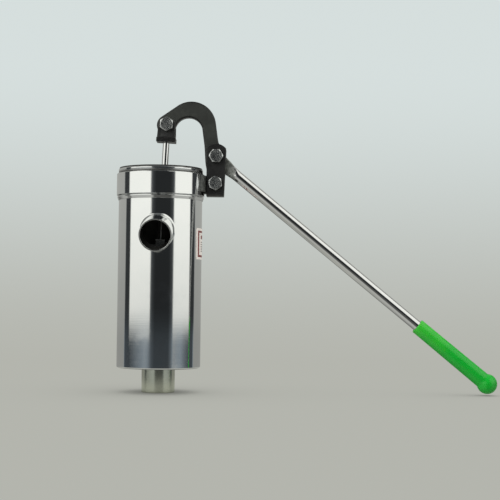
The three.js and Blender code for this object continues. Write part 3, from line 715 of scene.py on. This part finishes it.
def label_panel():
    """A thin label that follows the barrel, with rounded corners and UVs for its print."""
    lo, hi = span("label_panel")
    height = hi.z - lo.z
    glue, thick = 0.15, 0.25
    radius = BARREL_R + glue
    start = math.atan2(lo.y, math.sqrt(radius ** 2 - lo.y ** 2))
    end = math.atan2(hi.y, math.sqrt(radius ** 2 - hi.y ** 2))
    columns, rows, corner = 60, 24, 2.0
    length = radius * (end - start)
    points, uvs = [], []
    for layer in (0, thick):
        for i in range(columns + 1):
            along = length * i / columns
            near = min(along, length - along)
            trim = corner - math.sqrt(corner ** 2 - (corner - near) ** 2) if near < corner else 0
            for j in range(rows + 1):
                share = j / rows
                z = lo.z + trim + (height - 2 * trim) * share
                angle = start + along / radius
                r = radius + layer
                points.append((r * math.cos(angle), r * math.sin(angle), z))
                uvs.append((along / length, (z - lo.z) / height))
    layer_size = (columns + 1) * (rows + 1)
    faces = []
    for i in range(columns):
        for j in range(rows):
            a = i * (rows + 1) + j
            quad = (a, a + 1, a + rows + 2, a + rows + 1)
            faces += [quad, tuple(k + layer_size for k in quad)]
    loop = [j for j in range(rows)] + [i * (rows + 1) + rows for i in range(columns)]
    loop += [columns * (rows + 1) + rows - j for j in range(rows)]
    loop += [(columns - i) * (rows + 1) for i in range(columns)]
    for a, b in zip(loop, loop[1:] + loop[:1]):
        faces.append((a, b, b + layer_size, a + layer_size))
    made = part("label_panel", Shape(points, faces), LABEL)
    layer = made.data.uv_layers.new(name="print")
    for loop_item in made.data.loops:
        layer.data[loop_item.index].uv = uvs[loop_item.vertex_index]


# ---------------- collar


def collar():
    """Three rings round the barrel's top: a rolled bead, a plain band and a rolled rim."""
    bore = BARREL_R + CLEARANCE
    lo, hi = span("collar_bead")
    bead = rounded([(bore, lo.z), (bore + 0.4, lo.z, 0.15), (hi.x, hi.z - 2.3, 0.5),
                    (hi.x, hi.z - 1.4, 0.4), (hi.x - 1.1, hi.z - 0.1, 0.3), (bore, hi.z)], 6)
    lo, hi = span("collar_band")
    band = rounded([(bore, lo.z, 0.2), (hi.x, lo.z, 0.4), (hi.x, hi.z, 0.9), (bore, hi.z, 0.3)], 5)
    lo, hi = span("rim_ring")
    bead_r = 2.1
    inside, lip = hi.x - 2 * bead_r, hi.x - 1.2
    step = BARREL_TOP + CLEARANCE
    rim = rounded([(bore, lo.z), (hi.x - 0.35, lo.z, 0.2), (hi.x, hi.z - 3.8, 0.5),
                   (hi.x, hi.z - 2.7, 0.4), (lip, hi.z - 1.0, 0.3), (lip, hi.z, 0.3),
                   (inside, hi.z, bead_r), (inside, step), (bore, step)], 6)
    for name, profile in (("collar_bead", bead), ("collar_band", band), ("rim_ring", rim)):
        shape = lathe(profile, WIDE)
        radius = np.hypot(shape.points[:, 0], shape.points[:, 1])
        # The rings' bores: unpolished, and painted dark as shade by the steel's look.
        shape.wear_and_shade = (radius < bore + 0.1).astype(float)
        part(name, shape, BARREL_STEEL)


# ---------------- lug and bracket

STRAP = 3.5   # the bracket's thickness
STRAP_HOLE_R = 5.2


def collar_lug():
    """A cast block on a saddle that is welded to the collar's band."""
    lo, hi = span("collar_lug")
    band_r = high("collar_band").x
    left = low("pivot_bracket").x - CLEARANCE
    half = high("pivot_bracket").y - STRAP - CLEARANCE
    saddle_low, saddle_high, saddle_thick = 259.3, 279.8, 3.2
    hole = 5.3
    saddle = boolean("INTERSECT", tube(50, band_r + saddle_thick, saddle_low, saddle_high, 0.01, WIDE),
                     slab(50, left, lo.y, hi.y, saddle_low, saddle_high))
    shape = joined(saddle, slab(52, hi.x, -half, half, lo.z, hi.z))
    inside = rod(band_r + CLEARANCE, lo.z - 1, hi.z + 1, 0.01, WIDE)
    shape = cut(shape, inside, pin_y(lug_bolt_place(), hole))
    part("collar_lug", eased(shape, 0.5, 2, 50), CASTING)


def lug_bolt_place():
    lo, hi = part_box("lug_bolt")
    middle = (lo + hi) / 2 / MM
    return (middle.x, middle.z)


def pivot_bracket():
    """A steel strap folded to a U: two cheeks with round tops and a web under the lug."""
    lo, hi = span("pivot_bracket")
    bend = 4.5
    foot_right = 82.4  # the cheeks are narrower at their lower edge
    crown = hi.z - FULCRUM.z
    first = math.degrees(math.acos((hi.x - FULCRUM.x) / crown))
    last = 180 - math.degrees(math.acos((FULCRUM.x - lo.x) / crown))
    top = arc(FULCRUM.x, FULCRUM.z, crown, first, last, 28)
    section = [(-hi.y, lo.z + bend)] + arc(-hi.y + bend, lo.z + bend, bend, -180, -90, 8)[1:]
    section += arc(hi.y - bend, lo.z + bend, bend, -90, 0, 8)
    points, faces = [], []
    for y, z in section:
        points += [(lo.x, y, z), (foot_right, y, z)]
    for i in range(len(section) - 1):
        faces.append((2 * i, 2 * i + 1, 2 * i + 3, 2 * i + 2))
    for side, (a, b) in ((-hi.y, (0, 1)), (hi.y, (2 * len(section) - 2, 2 * len(section) - 1))):
        start = len(points)
        points += [(x, side, z) for x, z in top]
        faces.append((a, b, *range(start, start + len(top))))
    sheet = scratch_object(Shape(points, faces))
    solid = sheet.modifiers.new("thickness", "SOLIDIFY")
    solid.thickness = STRAP
    solid.offset = -1
    bevel = sheet.modifiers.new("edges", "BEVEL")
    bevel.width = 0.8
    bevel.segments = 3
    bevel.limit_method = "ANGLE"
    bevel.angle_limit = math.radians(50)
    shape = cut(applied(sheet), pin_y(FULCRUM, STRAP_HOLE_R), pin_y(lug_bolt_place(), STRAP_HOLE_R))
    # Mask on the cheeks' left and right edges: rubbed paint, and painted shade darkening them.
    edge = np.minimum(shape.points[:, 0] - lo.x, hi.x - shape.points[:, 0])
    shape.wear_and_shade = np.clip(1 - edge / 0.6, 0, 1)
    part("pivot_bracket", shape, STRAP_PAINT)


# ---------------- fasteners

HEX_CORNER = 9.5
HEAD_H = 6.4
NUT_H = 8.0
BOLT_R = 5.0
BOLT_PITCH = 1.5
BOLT_THREAD = 14   # the thread's length
BOLT_PLAY = 0.3    # round a bolt, in its nut and washer
WASHER_R, WASHER_T = 10, 1.6


def hexagonal(corner, height, dish, bore=0.0):
    """A forged hexagon about Z from its seat at z = 0: chamfered on top, and dished or bored."""
    flat = corner * math.cos(math.pi / 6)
    sides = 96
    angles = np.linspace(0, 2 * math.pi, sides, endpoint=False)
    turn = np.abs((np.degrees(angles) % 60) - 30)
    reach = np.minimum(flat / np.cos(np.radians(turn)), corner * 0.985)
    chamfer_top = flat * 0.93
    shoulder = height - (reach - chamfer_top) * math.tan(math.radians(30))
    seat = flat * 0.95

    def ring(radius, z):
        radius, z = np.broadcast_to(radius, (sides,)), np.broadcast_to(z, (sides,))
        return np.stack([radius * np.cos(angles), radius * np.sin(angles), z], 1)

    rings = [ring(seat, 0), ring(seat + 0.1, 0.35), ring(reach - 0.25, 0.4), ring(reach, 0.7),
             ring(reach, shoulder - 0.15), ring(reach - 0.12, shoulder + 0.08),
             ring(chamfer_top + 0.1, height - 0.1), ring(chamfer_top - 0.35, height)]
    if dish:
        rings += [ring(flat * 0.8, height), ring(flat * 0.5, height - 0.8 * dish),
                  ring(0.3, height - dish)]
    if bore:
        rings += [ring(bore + 0.9, height), ring(bore, height - 0.9), ring(bore, 0.4),
                  ring(bore + 0.4, 0)]
    return loft(rings, closed=bool(bore))


def bolt_shape(end, turn, seat=0.0):
    """A bolt along Y, its head's seat facing +Y at y = seat, with thread on its far end."""
    head = hexagonal(HEX_CORNER, HEAD_H, 0.15).turned(turn, "Z")
    length = end - seat
    root = BOLT_R - 0.8
    thread = thread_profile(length - BOLT_THREAD, length - 1, BOLT_R, root, BOLT_PITCH)
    thread = [(r, -z) for r, z in thread]
    last = thread[-1][1]
    profile = [(0, 0.5), (BOLT_R, 0.5), *thread, (root, last - 0.6), (root, -length), (0, -length)]
    shank = lathe(profile, SMALL)
    return (head + shank).turned(90, "X").at(0, seat, 0)


def nut_shape(front, turn):
    body = hexagonal(HEX_CORNER, NUT_H, 0, BOLT_R + BOLT_PLAY)
    return body.turned(turn, "Z").turned(-90, "X").at(0, front, 0)


def washer_shape(front):
    ring = tube(BOLT_R + BOLT_PLAY, WASHER_R, 0, WASHER_T, 0.35, SMALL)
    return ring.turned(-90, "X").at(0, front, 0)


def fasteners():
    lug_x, lug_z = lug_bolt_place()
    seat = low("pivot_bracket").y - CLEARANCE
    for name, (x, z), turn in (("fulcrum", (FULCRUM.x, FULCRUM.z), 0), ("lug", (lug_x, lug_z), 98)):
        parts = [(f"{name}_bolt", bolt_shape(high(f"{name}_bolt").y, turn, seat)),
                 (f"{name}_washer", washer_shape(low(f"{name}_washer").y)),
                 (f"{name}_nut", nut_shape(low(f"{name}_nut").y, turn + 20))]
        for node, shape in parts:
            part(node, shape.at(x, 0, z), ZINC)


# ---------------- lever

OUTER_BEND = (39.0, 345.3, 31.9)   # x, z and radius of the gooseneck's arcs
INNER_BEND = (35.6, 338.2, 17.9)
EYE_R = 13.2
FOOT_R = 22.8
ARM_EDGE = 2.6
RIVET = (10.8, -HANDLE_DROP)   # in the handle's frame
RIVET_R = 1.8
BUSH_HOLE_R = 6.9
TANG_HALF = 2.75   # half the tang's thickness


def gooseneck_arm():
    outline = [
        *arc(CLEVIS_PIN.x, CLEVIS_PIN.z, EYE_R, -48, -237, 28),
        *arc(*OUTER_BEND, 123, 6, 44),
        (72.1, 339), (73.2, 331), (74.5, 324), (77, 319), (82.2, 314.5), (83.8, 308), (83.5, 302),
        *arc(FULCRUM.x, FULCRUM.z, FOOT_R, -59, -121.5, 20),
        (58, 295), (57.5, 300), (57.1, 306), (56.7, 313), (56, 321),
        *arc(*INNER_BEND, 12, 158, 40),
    ]
    shape = plate(outline, -ARM_HALF, ARM_HALF, ARM_EDGE, 6)
    slot_half = TANG_HALF + CLEARANCE
    slot = slab(-12, 45, -slot_half, slot_half, -12.3, 13)
    slot = slot.turned(math.degrees(HANDLE_SLOPE), "Y").at(*FULCRUM)
    rivet = HANDLE_FRAME @ Vector((RIVET[0] * MM, 0, RIVET[1] * MM)) / MM
    shape = cut(shape, slot, pin_y(CLEVIS_PIN, BOLT_R + BOLT_PLAY), pin_y(FULCRUM, BUSH_HOLE_R),
                pin_y(rivet, RIVET_R + 0.2))
    part("gooseneck_arm", shape, ARM_PAINT, sharp=40)
    bush = tube(BOLT_R + 0.1, 6.6, low("fulcrum_bush").y, high("fulcrum_bush").y, 0.3)
    bush = bush.turned(90, "X").at(*FULCRUM)
    part("fulcrum_bush", bush, BRASS)


def superellipse(at, lift, half_width, half_thick, power, count=64):
    """A ring across the handle: round at power 2, and flatter-sided above it."""
    points = []
    for k in range(count):
        c, s = math.cos(2 * math.pi * k / count), math.sin(2 * math.pi * k / count)
        y = half_thick * math.copysign(abs(c) ** (2 / power), c)
        z = half_width * math.copysign(abs(s) ** (2 / power), s)
        points.append((at, y, lift + z))
    return points


def eased_share(at, start, end):
    """How far along from start to end, with an easy start and finish."""
    share = min(max((at - start) / (end - start), 0.0), 1.0)
    return share * share * (3 - 2 * share)


def handle_tube():
    """A tube whose end is pressed to a flat tang, which widens towards the fulcrum."""
    tang_wide, tang_lift = 9.9, -2.0
    start, end = -10.5, 431.4
    round_start = 38.0
    nose = [start, start + 0.4, start + 1.5, start + 3.5]
    rings = []
    for at in [*nose, *np.linspace(-4, round_start, 30), 120, 240, 360, end]:
        opening = eased_share(at, 21, round_start)
        width = tang_wide + (HANDLE_R - tang_wide) * eased_share(at, 8, 36)
        tip = 1 - 0.22 * (1 - eased_share(at, start, start + 4)) ** 2
        thick = TANG_HALF + (HANDLE_R - TANG_HALF) * opening
        lift = tang_lift + (-HANDLE_DROP - tang_lift) * eased_share(at, 26, round_start)
        rings.append(superellipse(at, lift, width * tip, thick, 2 + 3.2 * (1 - opening)))
    shape = cut(loft(rings), pin_y((0, 0), BUSH_HOLE_R), pin_y(RIVET, RIVET_R + 0.2))
    part("handle_tube", shape, HANDLE_CHROME, HANDLE_FRAME, 40)
    half = ARM_HALF + 0.5
    head = [(0, -half), (1.8, -half + 0.1), (2.8, -half + 0.4), (RIVET_R, -half + 0.5)]
    profile = head + [(r, -z) for r, z in reversed(head)]
    rivet = lathe(profile, SMALL).turned(90, "X").at(RIVET[0], 0, RIVET[1])
    part("tang_rivet", rivet, ZINC, HANDLE_FRAME)


def grip():
    """A dipped vinyl sleeve that ends in a ball."""
    start, tube_end = 340.6, 432.4
    wide_start, wide_end = 9.85, 10.4
    lip = 1.1
    inner = HANDLE_R + 0.12
    neck = BALL_AT - 13.5
    ball_start = 8.4   # before the ball's centre
    join = -math.degrees(math.asin(ball_start / BALL_R))
    taper = [(wide_start + (wide_end - wide_start) * share, start + 2 + (neck - start - 12) * share)
             for share in np.linspace(0.1, 1, 9)]
    profile = [
        (inner, start + 0.3), (inner + 0.3, start),
        *arc(wide_start - lip, start + lip, lip, -90, 0, 5), *taper,
        (wide_end + 0.02, neck - 6), (wide_end + 0.05, neck - 2), (wide_end + 0.05, BALL_AT - 9.6),
        *arc(0, BALL_AT, BALL_R, join, 90, 24)[1:-1], (0, BALL_AT + BALL_R),
        (0, tube_end), (inner, tube_end),
    ]
    shape = lathe(profile, MEDIUM).turned(90, "Y").at(0, 0, -HANDLE_DROP)
    part("grip", shape, GREEN_VINYL, HANDLE_FRAME, 45)


# ---------------- rod and clevis

ROD_HOLE_R = 4.5


def rod_clevis():
    """A forged fork: a flange at the foot and a recessed panel on each cheek."""
    top, bottom, floor_of_slot = 7.0, -22.2, -14.3
    out, inner = high("rod_clevis").y, 7.4
    foot_half, waist, crown = 12.5, 11.7, 10.75
    flange_top = bottom + 5.5
    cheek = rounded([(-waist, bottom + 3), (waist, bottom + 3), (waist, flange_top + 1.5, 2),
                     (crown, top, 4), (-crown, top, 4), (-waist, flange_top + 1.5, 2)], 8)
    body = plate(cheek, -out + 0.4, out - 0.4, 0.9, 3)
    flange = eased(slab(-foot_half, foot_half, -out, out, bottom, flange_top), 0.45, 3)
    shape = joined(body, flange)
    cutters = [slab(-20, 20, -inner, inner, floor_of_slot, top + 5), pin_y((0, 0), BOLT_R + 0.2),
               rod(ROD_HOLE_R, bottom - 1, floor_of_slot + 1)]
    side, low_edge, high_edge = 8.2, flange_top + 1.2, -4.5
    panel = rounded([(-side, low_edge, 0.8), (side, low_edge, 0.8), (side, high_edge, 0.8),
                     (-side, high_edge, 0.8)], 3)
    for front in (-1, 1):
        y = sorted((front * (out - 1.5), front * (out + 2)))
        cutters.append(plate(panel, *y, 0.5, 2))
    shape = cut(shape, *cutters)
    # Mask near the foot's sides and on the outer faces: rubbed paint, and painted shade darkening them.
    near = np.minimum(foot_half - np.abs(shape.points[:, 0]), out - np.abs(shape.points[:, 1]))
    shape.wear_and_shade = np.clip(1 - near / 1.0, 0, 1) * 0.9
    part("rod_clevis", shape, CLEVIS_PAINT, ROD_FRAME)
    seat = -out - CLEARANCE
    bolt = bolt_shape(high("clevis_bolt").y, 90, seat)
    part("clevis_bolt", bolt, ZINC, ROD_FRAME)
    part("clevis_nut", nut_shape(-seat, 70), ZINC, ROD_FRAME)


def piston_rod():
    radius, bottom, top = 4.3, 6 - ROD_LENGTH, -15.1
    profile = [(0, bottom), *rounded_side(radius, bottom, top, 0.4), (0, top)]
    shape = lathe(profile, SMALL)
    part("piston_rod", shape, ROD_STEEL, ROD_FRAME)
    half = 6.0
    eye = plate([(-6.5, 14), *arc(0, 0, 6.5, 180, 360, 24), (6.5, 14)], -half, half, 1.0, 4)
    eye = cut(eye, pin_y((0, 0), 3.2), rod(ROD_HOLE_R, 5, 20)).at(0, 0, -ROD_LENGTH)
    part("rod_eye", eye, PLAIN_STEEL, ROD_FRAME)
    half = high("wrist_pin").y
    pin = rod(3.0, -half, half, 0.6).turned(90, "X").at(0, 0, -ROD_LENGTH)
    part("wrist_pin", pin, ZINC, ROD_FRAME)
    for side in ("front", "back"):
        node = f"wrist_clip_{side}"
        y = (low(node).y + high(node).y) / 2
        clip = snap_ring(3.1, 5.6, 1.0).turned(90, "X").at(0, y, -ROD_LENGTH)
        part(node, clip, ZINC, ROD_FRAME)


def snap_ring(inner, outer, thick):
    """A spring clip: a flat ring with a gap."""
    angles = np.radians(np.linspace(-55, 235, 60))
    rings = []
    for a in angles:
        rings.append([(r * math.cos(a), r * math.sin(a), z) for r, z in
                      ((inner, -thick / 2), (outer, -thick / 2), (outer, thick / 2), (inner, thick / 2))])
    return eased(loft(rings), 0.12, 1, 50)


# ---------------- piston


def piston():
    lo, hi = span("piston_body")
    waist = hi.x - 1.5
    bore = 13
    body = [(bore, lo.z, 0.8), (hi.x, lo.z, 0.8), (hi.x, lo.z + 3, 0.3), (waist, lo.z + 3.6, 0.3),
            (waist, hi.z - 3.6, 0.3), (hi.x, hi.z - 3, 0.3), (hi.x, hi.z, 0.5), (bore, hi.z, 0.5)]
    turned_part("piston_body", body, 3, NYLON, WIDE)
    lo, hi = span("cup_seal")
    bore, thick = 18, 3
    cup = [(bore, lo.z, 0.4), (hi.x - 1.2, lo.z, 1.4), (hi.x, hi.z, 0.3), (hi.x - 1.2, hi.z, 0.3),
           (hi.x - 2.8, lo.z + thick, 2.4), (bore, lo.z + thick, 0.4)]
    turned_part("cup_seal", cup, 5, RUBBER, WIDE)
    lo, hi = span("clamp_ring")
    ring = tube(bore, hi.x, lo.z, hi.z, 0.6, WIDE)
    part("clamp_ring", ring, PLAIN_STEEL)
    eased_part("piston_yoke", 0.5, PLAIN_STEEL)
    for i in range(1, 5):
        node = f"piston_screw_{i}"
        centre = (low(node) + high(node)) / 2
        part(node, slotted_screw(node).at(centre.x, centre.y, 0), ZINC)
    eased_part("delivery_valve", 0.3, BRASS)


def slotted_screw(node):
    top, bottom = high(node).z, low(node).z
    head = 4.6
    seat = top - 3
    profile = [(0, bottom), *arc(2.1, bottom + 0.4, 0.4, -90, 0, 2), (2.5, seat), (head, seat),
               (head, seat + 1.2), *arc(head - 1.4, top - 1.4, 1.4, 15, 90, 5), (0, top)]
    slot = slab(-head - 1, head + 1, -0.6, 0.6, top - 1.3, top + 1)
    return cut(lathe(profile, SMALL), slot)


# ---------------- foot valve


def foot_valve():
    lo, hi = span("foot_valve_seat")
    bore = 12.5
    seat = [(bore, lo.z, 0.4), (hi.x, lo.z, 0.3), (hi.x, hi.z - 1.2, 0.5), (hi.x - 3, hi.z, 0.6),
            (bore, hi.z, 0.8)]
    turned_part("foot_valve_seat", seat, 4, BRASS)
    eased_part("flap_bracket", 0.3, BRASS)
    pin = rod(1.6, low("flap_hinge_pin").y, high("flap_hinge_pin").y, 0.4, 32)
    pin = pin.turned(90, "X").at(*HINGE)
    part("flap_hinge_pin", pin, ZINC)
    eased_part("flap_valve", 0.35, RUBBER)
    lo, hi = span("flap_weight")
    bore = 2.3
    weight = [(bore, lo.z, 0.2), (hi.x, lo.z, 0.5), (hi.x, hi.z - 1.5, 1), (hi.x - 4, hi.z, 1),
              (bore, hi.z, 0.3)]
    turned_part("flap_weight", weight, 4, WEIGHT_IRON)
    lo, hi = span("flap_screw")
    head = hi.z - 2.5
    screw = [(0, lo.z), (1.6, lo.z), (2, lo.z + 0.4), (2, head), (4, head),
             *arc(2.6, hi.z - 1.4, 1.4, 0, 90, 5), (0, hi.z)]
    part("flap_screw", lathe(screw, SMALL), ZINC)
    lo, hi = span("flap_nut")
    nut = hexagonal(4.6, hi.z - lo.z, 0, 2.2).turned(180, "X").at(0, 0, hi.z)
    part("flap_nut", nut, ZINC)


inlet_socket()
barrel()
spout()
label_panel()
collar()
collar_lug()
pivot_bracket()
fasteners()
gooseneck_arm()
handle_tube()
grip()
rod_clevis()
piston_rod()
piston()
foot_valve()

# ---------------- studio

GLARE = 1.0     # radiance of the softboxes
BACKDROP = 0.39
ROOM = 0.022    # the dark room behind the camera
LINE = 0.04     # the dark gaps beside the softboxes
CEILING = 0.16
FLOOR_TONE = (0.455, 0.462, 0.42, 1)
BACKDROP_TONE = (0.672, 0.735, 0.727, 1)
WARM, COOL, DUSK = (0.99, 1.0, 0.94, 1), (0.92, 1.0, 1.03, 1), (0.84, 1.0, 1.12, 1)

# Round the pump from -180 to 180 degrees, with 0 towards the camera and 90 towards the handle.
STUDIO = [(-180, BACKDROP), (-105.4, BACKDROP), (-102.4, LINE), (-86.4, LINE), (-83.4, GLARE),
          (-22.6, GLARE), (-19.8, 0.14), (-15, 0.045), (-8, ROOM), (30, ROOM), (37, 0.05),
          (40.5, 0.13), (43.2, GLARE), (92.6, GLARE), (95.6, LINE), (113.6, LINE), (116.6, BACKDROP),
          (180, BACKDROP)]
# The same above the height of the softboxes' middles, where the right one reaches further round.
STUDIO_HIGH = [(-180, BACKDROP), (-105.4, BACKDROP), (-102.4, LINE), (-86.4, LINE), (-83.4, GLARE),
               (-40, GLARE), (-34, ROOM), (24, ROOM), (30, GLARE), (104, GLARE), (110, LINE),
               (120, LINE), (124, BACKDROP), (180, BACKDROP)]
# The pale floor close by, which the metal mirrors well below the horizon.
FLOOR_GLOW = [(-180, 0.34), (-170, 0.34), (-162, 0.16), (-138, 0.16), (-118, 0.40), (-102, 0.40),
              (-99, 0.20), (-88, 0.20), (-85, 0.46), (-24, 0.50), (-14, 0.10), (34, 0.08),
              (44, 0.44), (90, 0.50), (97, 0.20), (112, 0.20), (116, 0.36), (180, 0.34)]
# Just below the horizon, where the far floor fades into the room.
STUDIO_LOW = [(-180, 0.30), (-105.4, 0.30), (-102.4, 0.07), (-84, 0.055), (-71, 0.10), (-52, 0.18),
              (-34, 0.26), (-28, 0.23), (-22.4, 0.16), (-17, 0.085), (-8, 0.05), (30, 0.05),
              (38, 0.125), (43.6, 0.27), (67, 0.24), (80, 0.135), (94, 0.065), (110, 0.065),
              (114, 0.30), (180, 0.30)]


def studio_world():
    """Seen directly, a plain pale backdrop; seen in the metal, two softboxes in a dark room."""
    world = bpy.data.worlds.new("studio")
    world.use_nodes = True
    t = Tree(world.node_tree)
    direction = t.add("ShaderNodeTexCoord").outputs["Generated"]
    x, y, z = t.add("ShaderNodeSeparateXYZ", {0: direction}).outputs
    turn = t.math("ARCTAN2", x, t.math("MULTIPLY", y, -1.0))
    turn = t.math("MULTIPLY_ADD", turn, 0.5 / math.pi, 0.5)
    height = t.math("ARCSINE", z)

    def rise(start, end, to_start=0.0, to_end=1.0):
        """A smooth step between two heights over the horizon, in degrees."""
        return t.between(height, math.radians(start), math.radians(end), to_start, to_end)

    def walls(studio):
        stops = [((angle + 180) / 360, level / 2) for angle, level in studio]
        return t.math("MULTIPLY", t.bands(turn, stops), 2.0)

    def blend(share, a, b):
        return t.add("ShaderNodeMix", {0: share, 2: a, 3: b}).outputs[0]

    def tinted(level, tint):
        return t.add("ShaderNodeVectorMath", {0: tint, "Scale": level}, operation="SCALE").outputs[0]

    lit = blend(rise(17, 24), walls(STUDIO), walls(STUDIO_HIGH))
    lit = blend(rise(55, 66), lit, CEILING)
    tint = t.mix(t.between(lit, 0.0, 0.4), COOL, WARM)
    above = tinted(t.math("MULTIPLY", lit, rise(-2, 5, 0.84, 1.05)), tint)
    low_walls = walls(STUDIO_LOW)
    below = tinted(low_walls, t.mix(t.between(low_walls, 0.24, 0.3), DUSK, WARM))
    reflected = t.mix(rise(-0.9, -2.5), above, below)
    reflected = t.mix(rise(-3.7, -7), reflected, tinted(walls(FLOOR_GLOW), WARM[:3]))
    backdrop = t.mix(rise(-4, 11), FLOOR_TONE, BACKDROP_TONE)
    is_camera = t.add("ShaderNodeLightPath").outputs["Is Camera Ray"]
    background = t.add("ShaderNodeBackground", {"Color": t.mix(is_camera, reflected, backdrop)})
    t.links.new(background.outputs[0], t.add("ShaderNodeOutputWorld").inputs[0])
    bpy.context.scene.world = world


def camera():
    data = bpy.data.cameras.new("camera")
    data.lens = 86.4
    data.sensor_width = 36
    body = bpy.data.objects.new("camera", data)
    place = (0.1169, -1.5572, 0.1293)
    pitch, roll = math.radians(2.05), math.radians(0.65)
    body.matrix_world = (Matrix.Translation(place)
                         @ Matrix.Rotation(math.pi / 2 + pitch, 4, "X")
                         @ Matrix.Rotation(roll, 4, "Z"))
    bpy.context.scene.collection.objects.link(body)
    bpy.context.scene.camera = body


def floor():
    """A pale round floor whose edge fades into the backdrop. Metal mirrors only its middle."""
    mesh = bpy.data.meshes.new("floor")
    radius, sides = 3.0, 64
    angles = np.linspace(0, 2 * math.pi, sides, endpoint=False)
    rim = [(radius * math.cos(a), radius * math.sin(a), 0) for a in angles]
    mesh.from_pydata(rim, [], [list(range(sides))])
    plane = bpy.data.objects.new("floor", mesh)
    bpy.context.scene.collection.objects.link(plane)
    material, t = new_look("floor")
    where = t.add("ShaderNodeTexCoord").outputs["Object"]
    distance = t.add("ShaderNodeVectorMath", {0: where}, operation="LENGTH").outputs["Value"]
    is_camera = t.add("ShaderNodeLightPath").outputs["Is Camera Ray"]
    direct = t.between(distance, 0.45, 1.3)
    mirrored = t.between(distance, 0.12, 0.3)
    fade = t.add("ShaderNodeMix", {0: is_camera, 2: mirrored, 3: direct}).outputs[0]
    shadow_reach = 0.22
    open_sky = t.add("ShaderNodeAmbientOcclusion", {"Distance": shadow_reach}, samples=16).outputs["AO"]
    shade = t.between(open_sky, 0.0, 1.0, 0.3, 1.0)
    tone = t.add("ShaderNodeEmission", {"Color": FLOOR_TONE, "Strength": shade}).outputs[0]
    clear = t.add("ShaderNodeBsdfTransparent").outputs[0]
    blend = t.add("ShaderNodeMixShader", {0: fade, 1: tone, 2: clear})
    t.links.new(blend.outputs[0], t.add("ShaderNodeOutputMaterial").inputs[0])
    mesh.materials.append(material)


def soft_light(name, at, size, watts):
    """A large square light aimed at the pump, for matt surfaces: polished ones don't mirror it."""
    data = bpy.data.lights.new(name, "AREA")
    data.size = size
    data.energy = watts
    body = bpy.data.objects.new(name, data)
    at, target = Vector(at), Vector((0.12, 0, 0.18))
    aim = (target - at).to_track_quat("-Z", "Y").to_matrix().to_4x4()
    body.matrix_world = Matrix.Translation(at) @ aim
    body.visible_glossy = False
    bpy.context.scene.collection.objects.link(body)


studio_world()
camera()
floor()
soft_light("front_light", (-0.7, -1.9, 1.5), 1.6, 26)
soft_light("top_light", (0.5, 0.5, 2.2), 1.6, 14)
bpy.context.scene.view_settings.view_transform = "Standard"
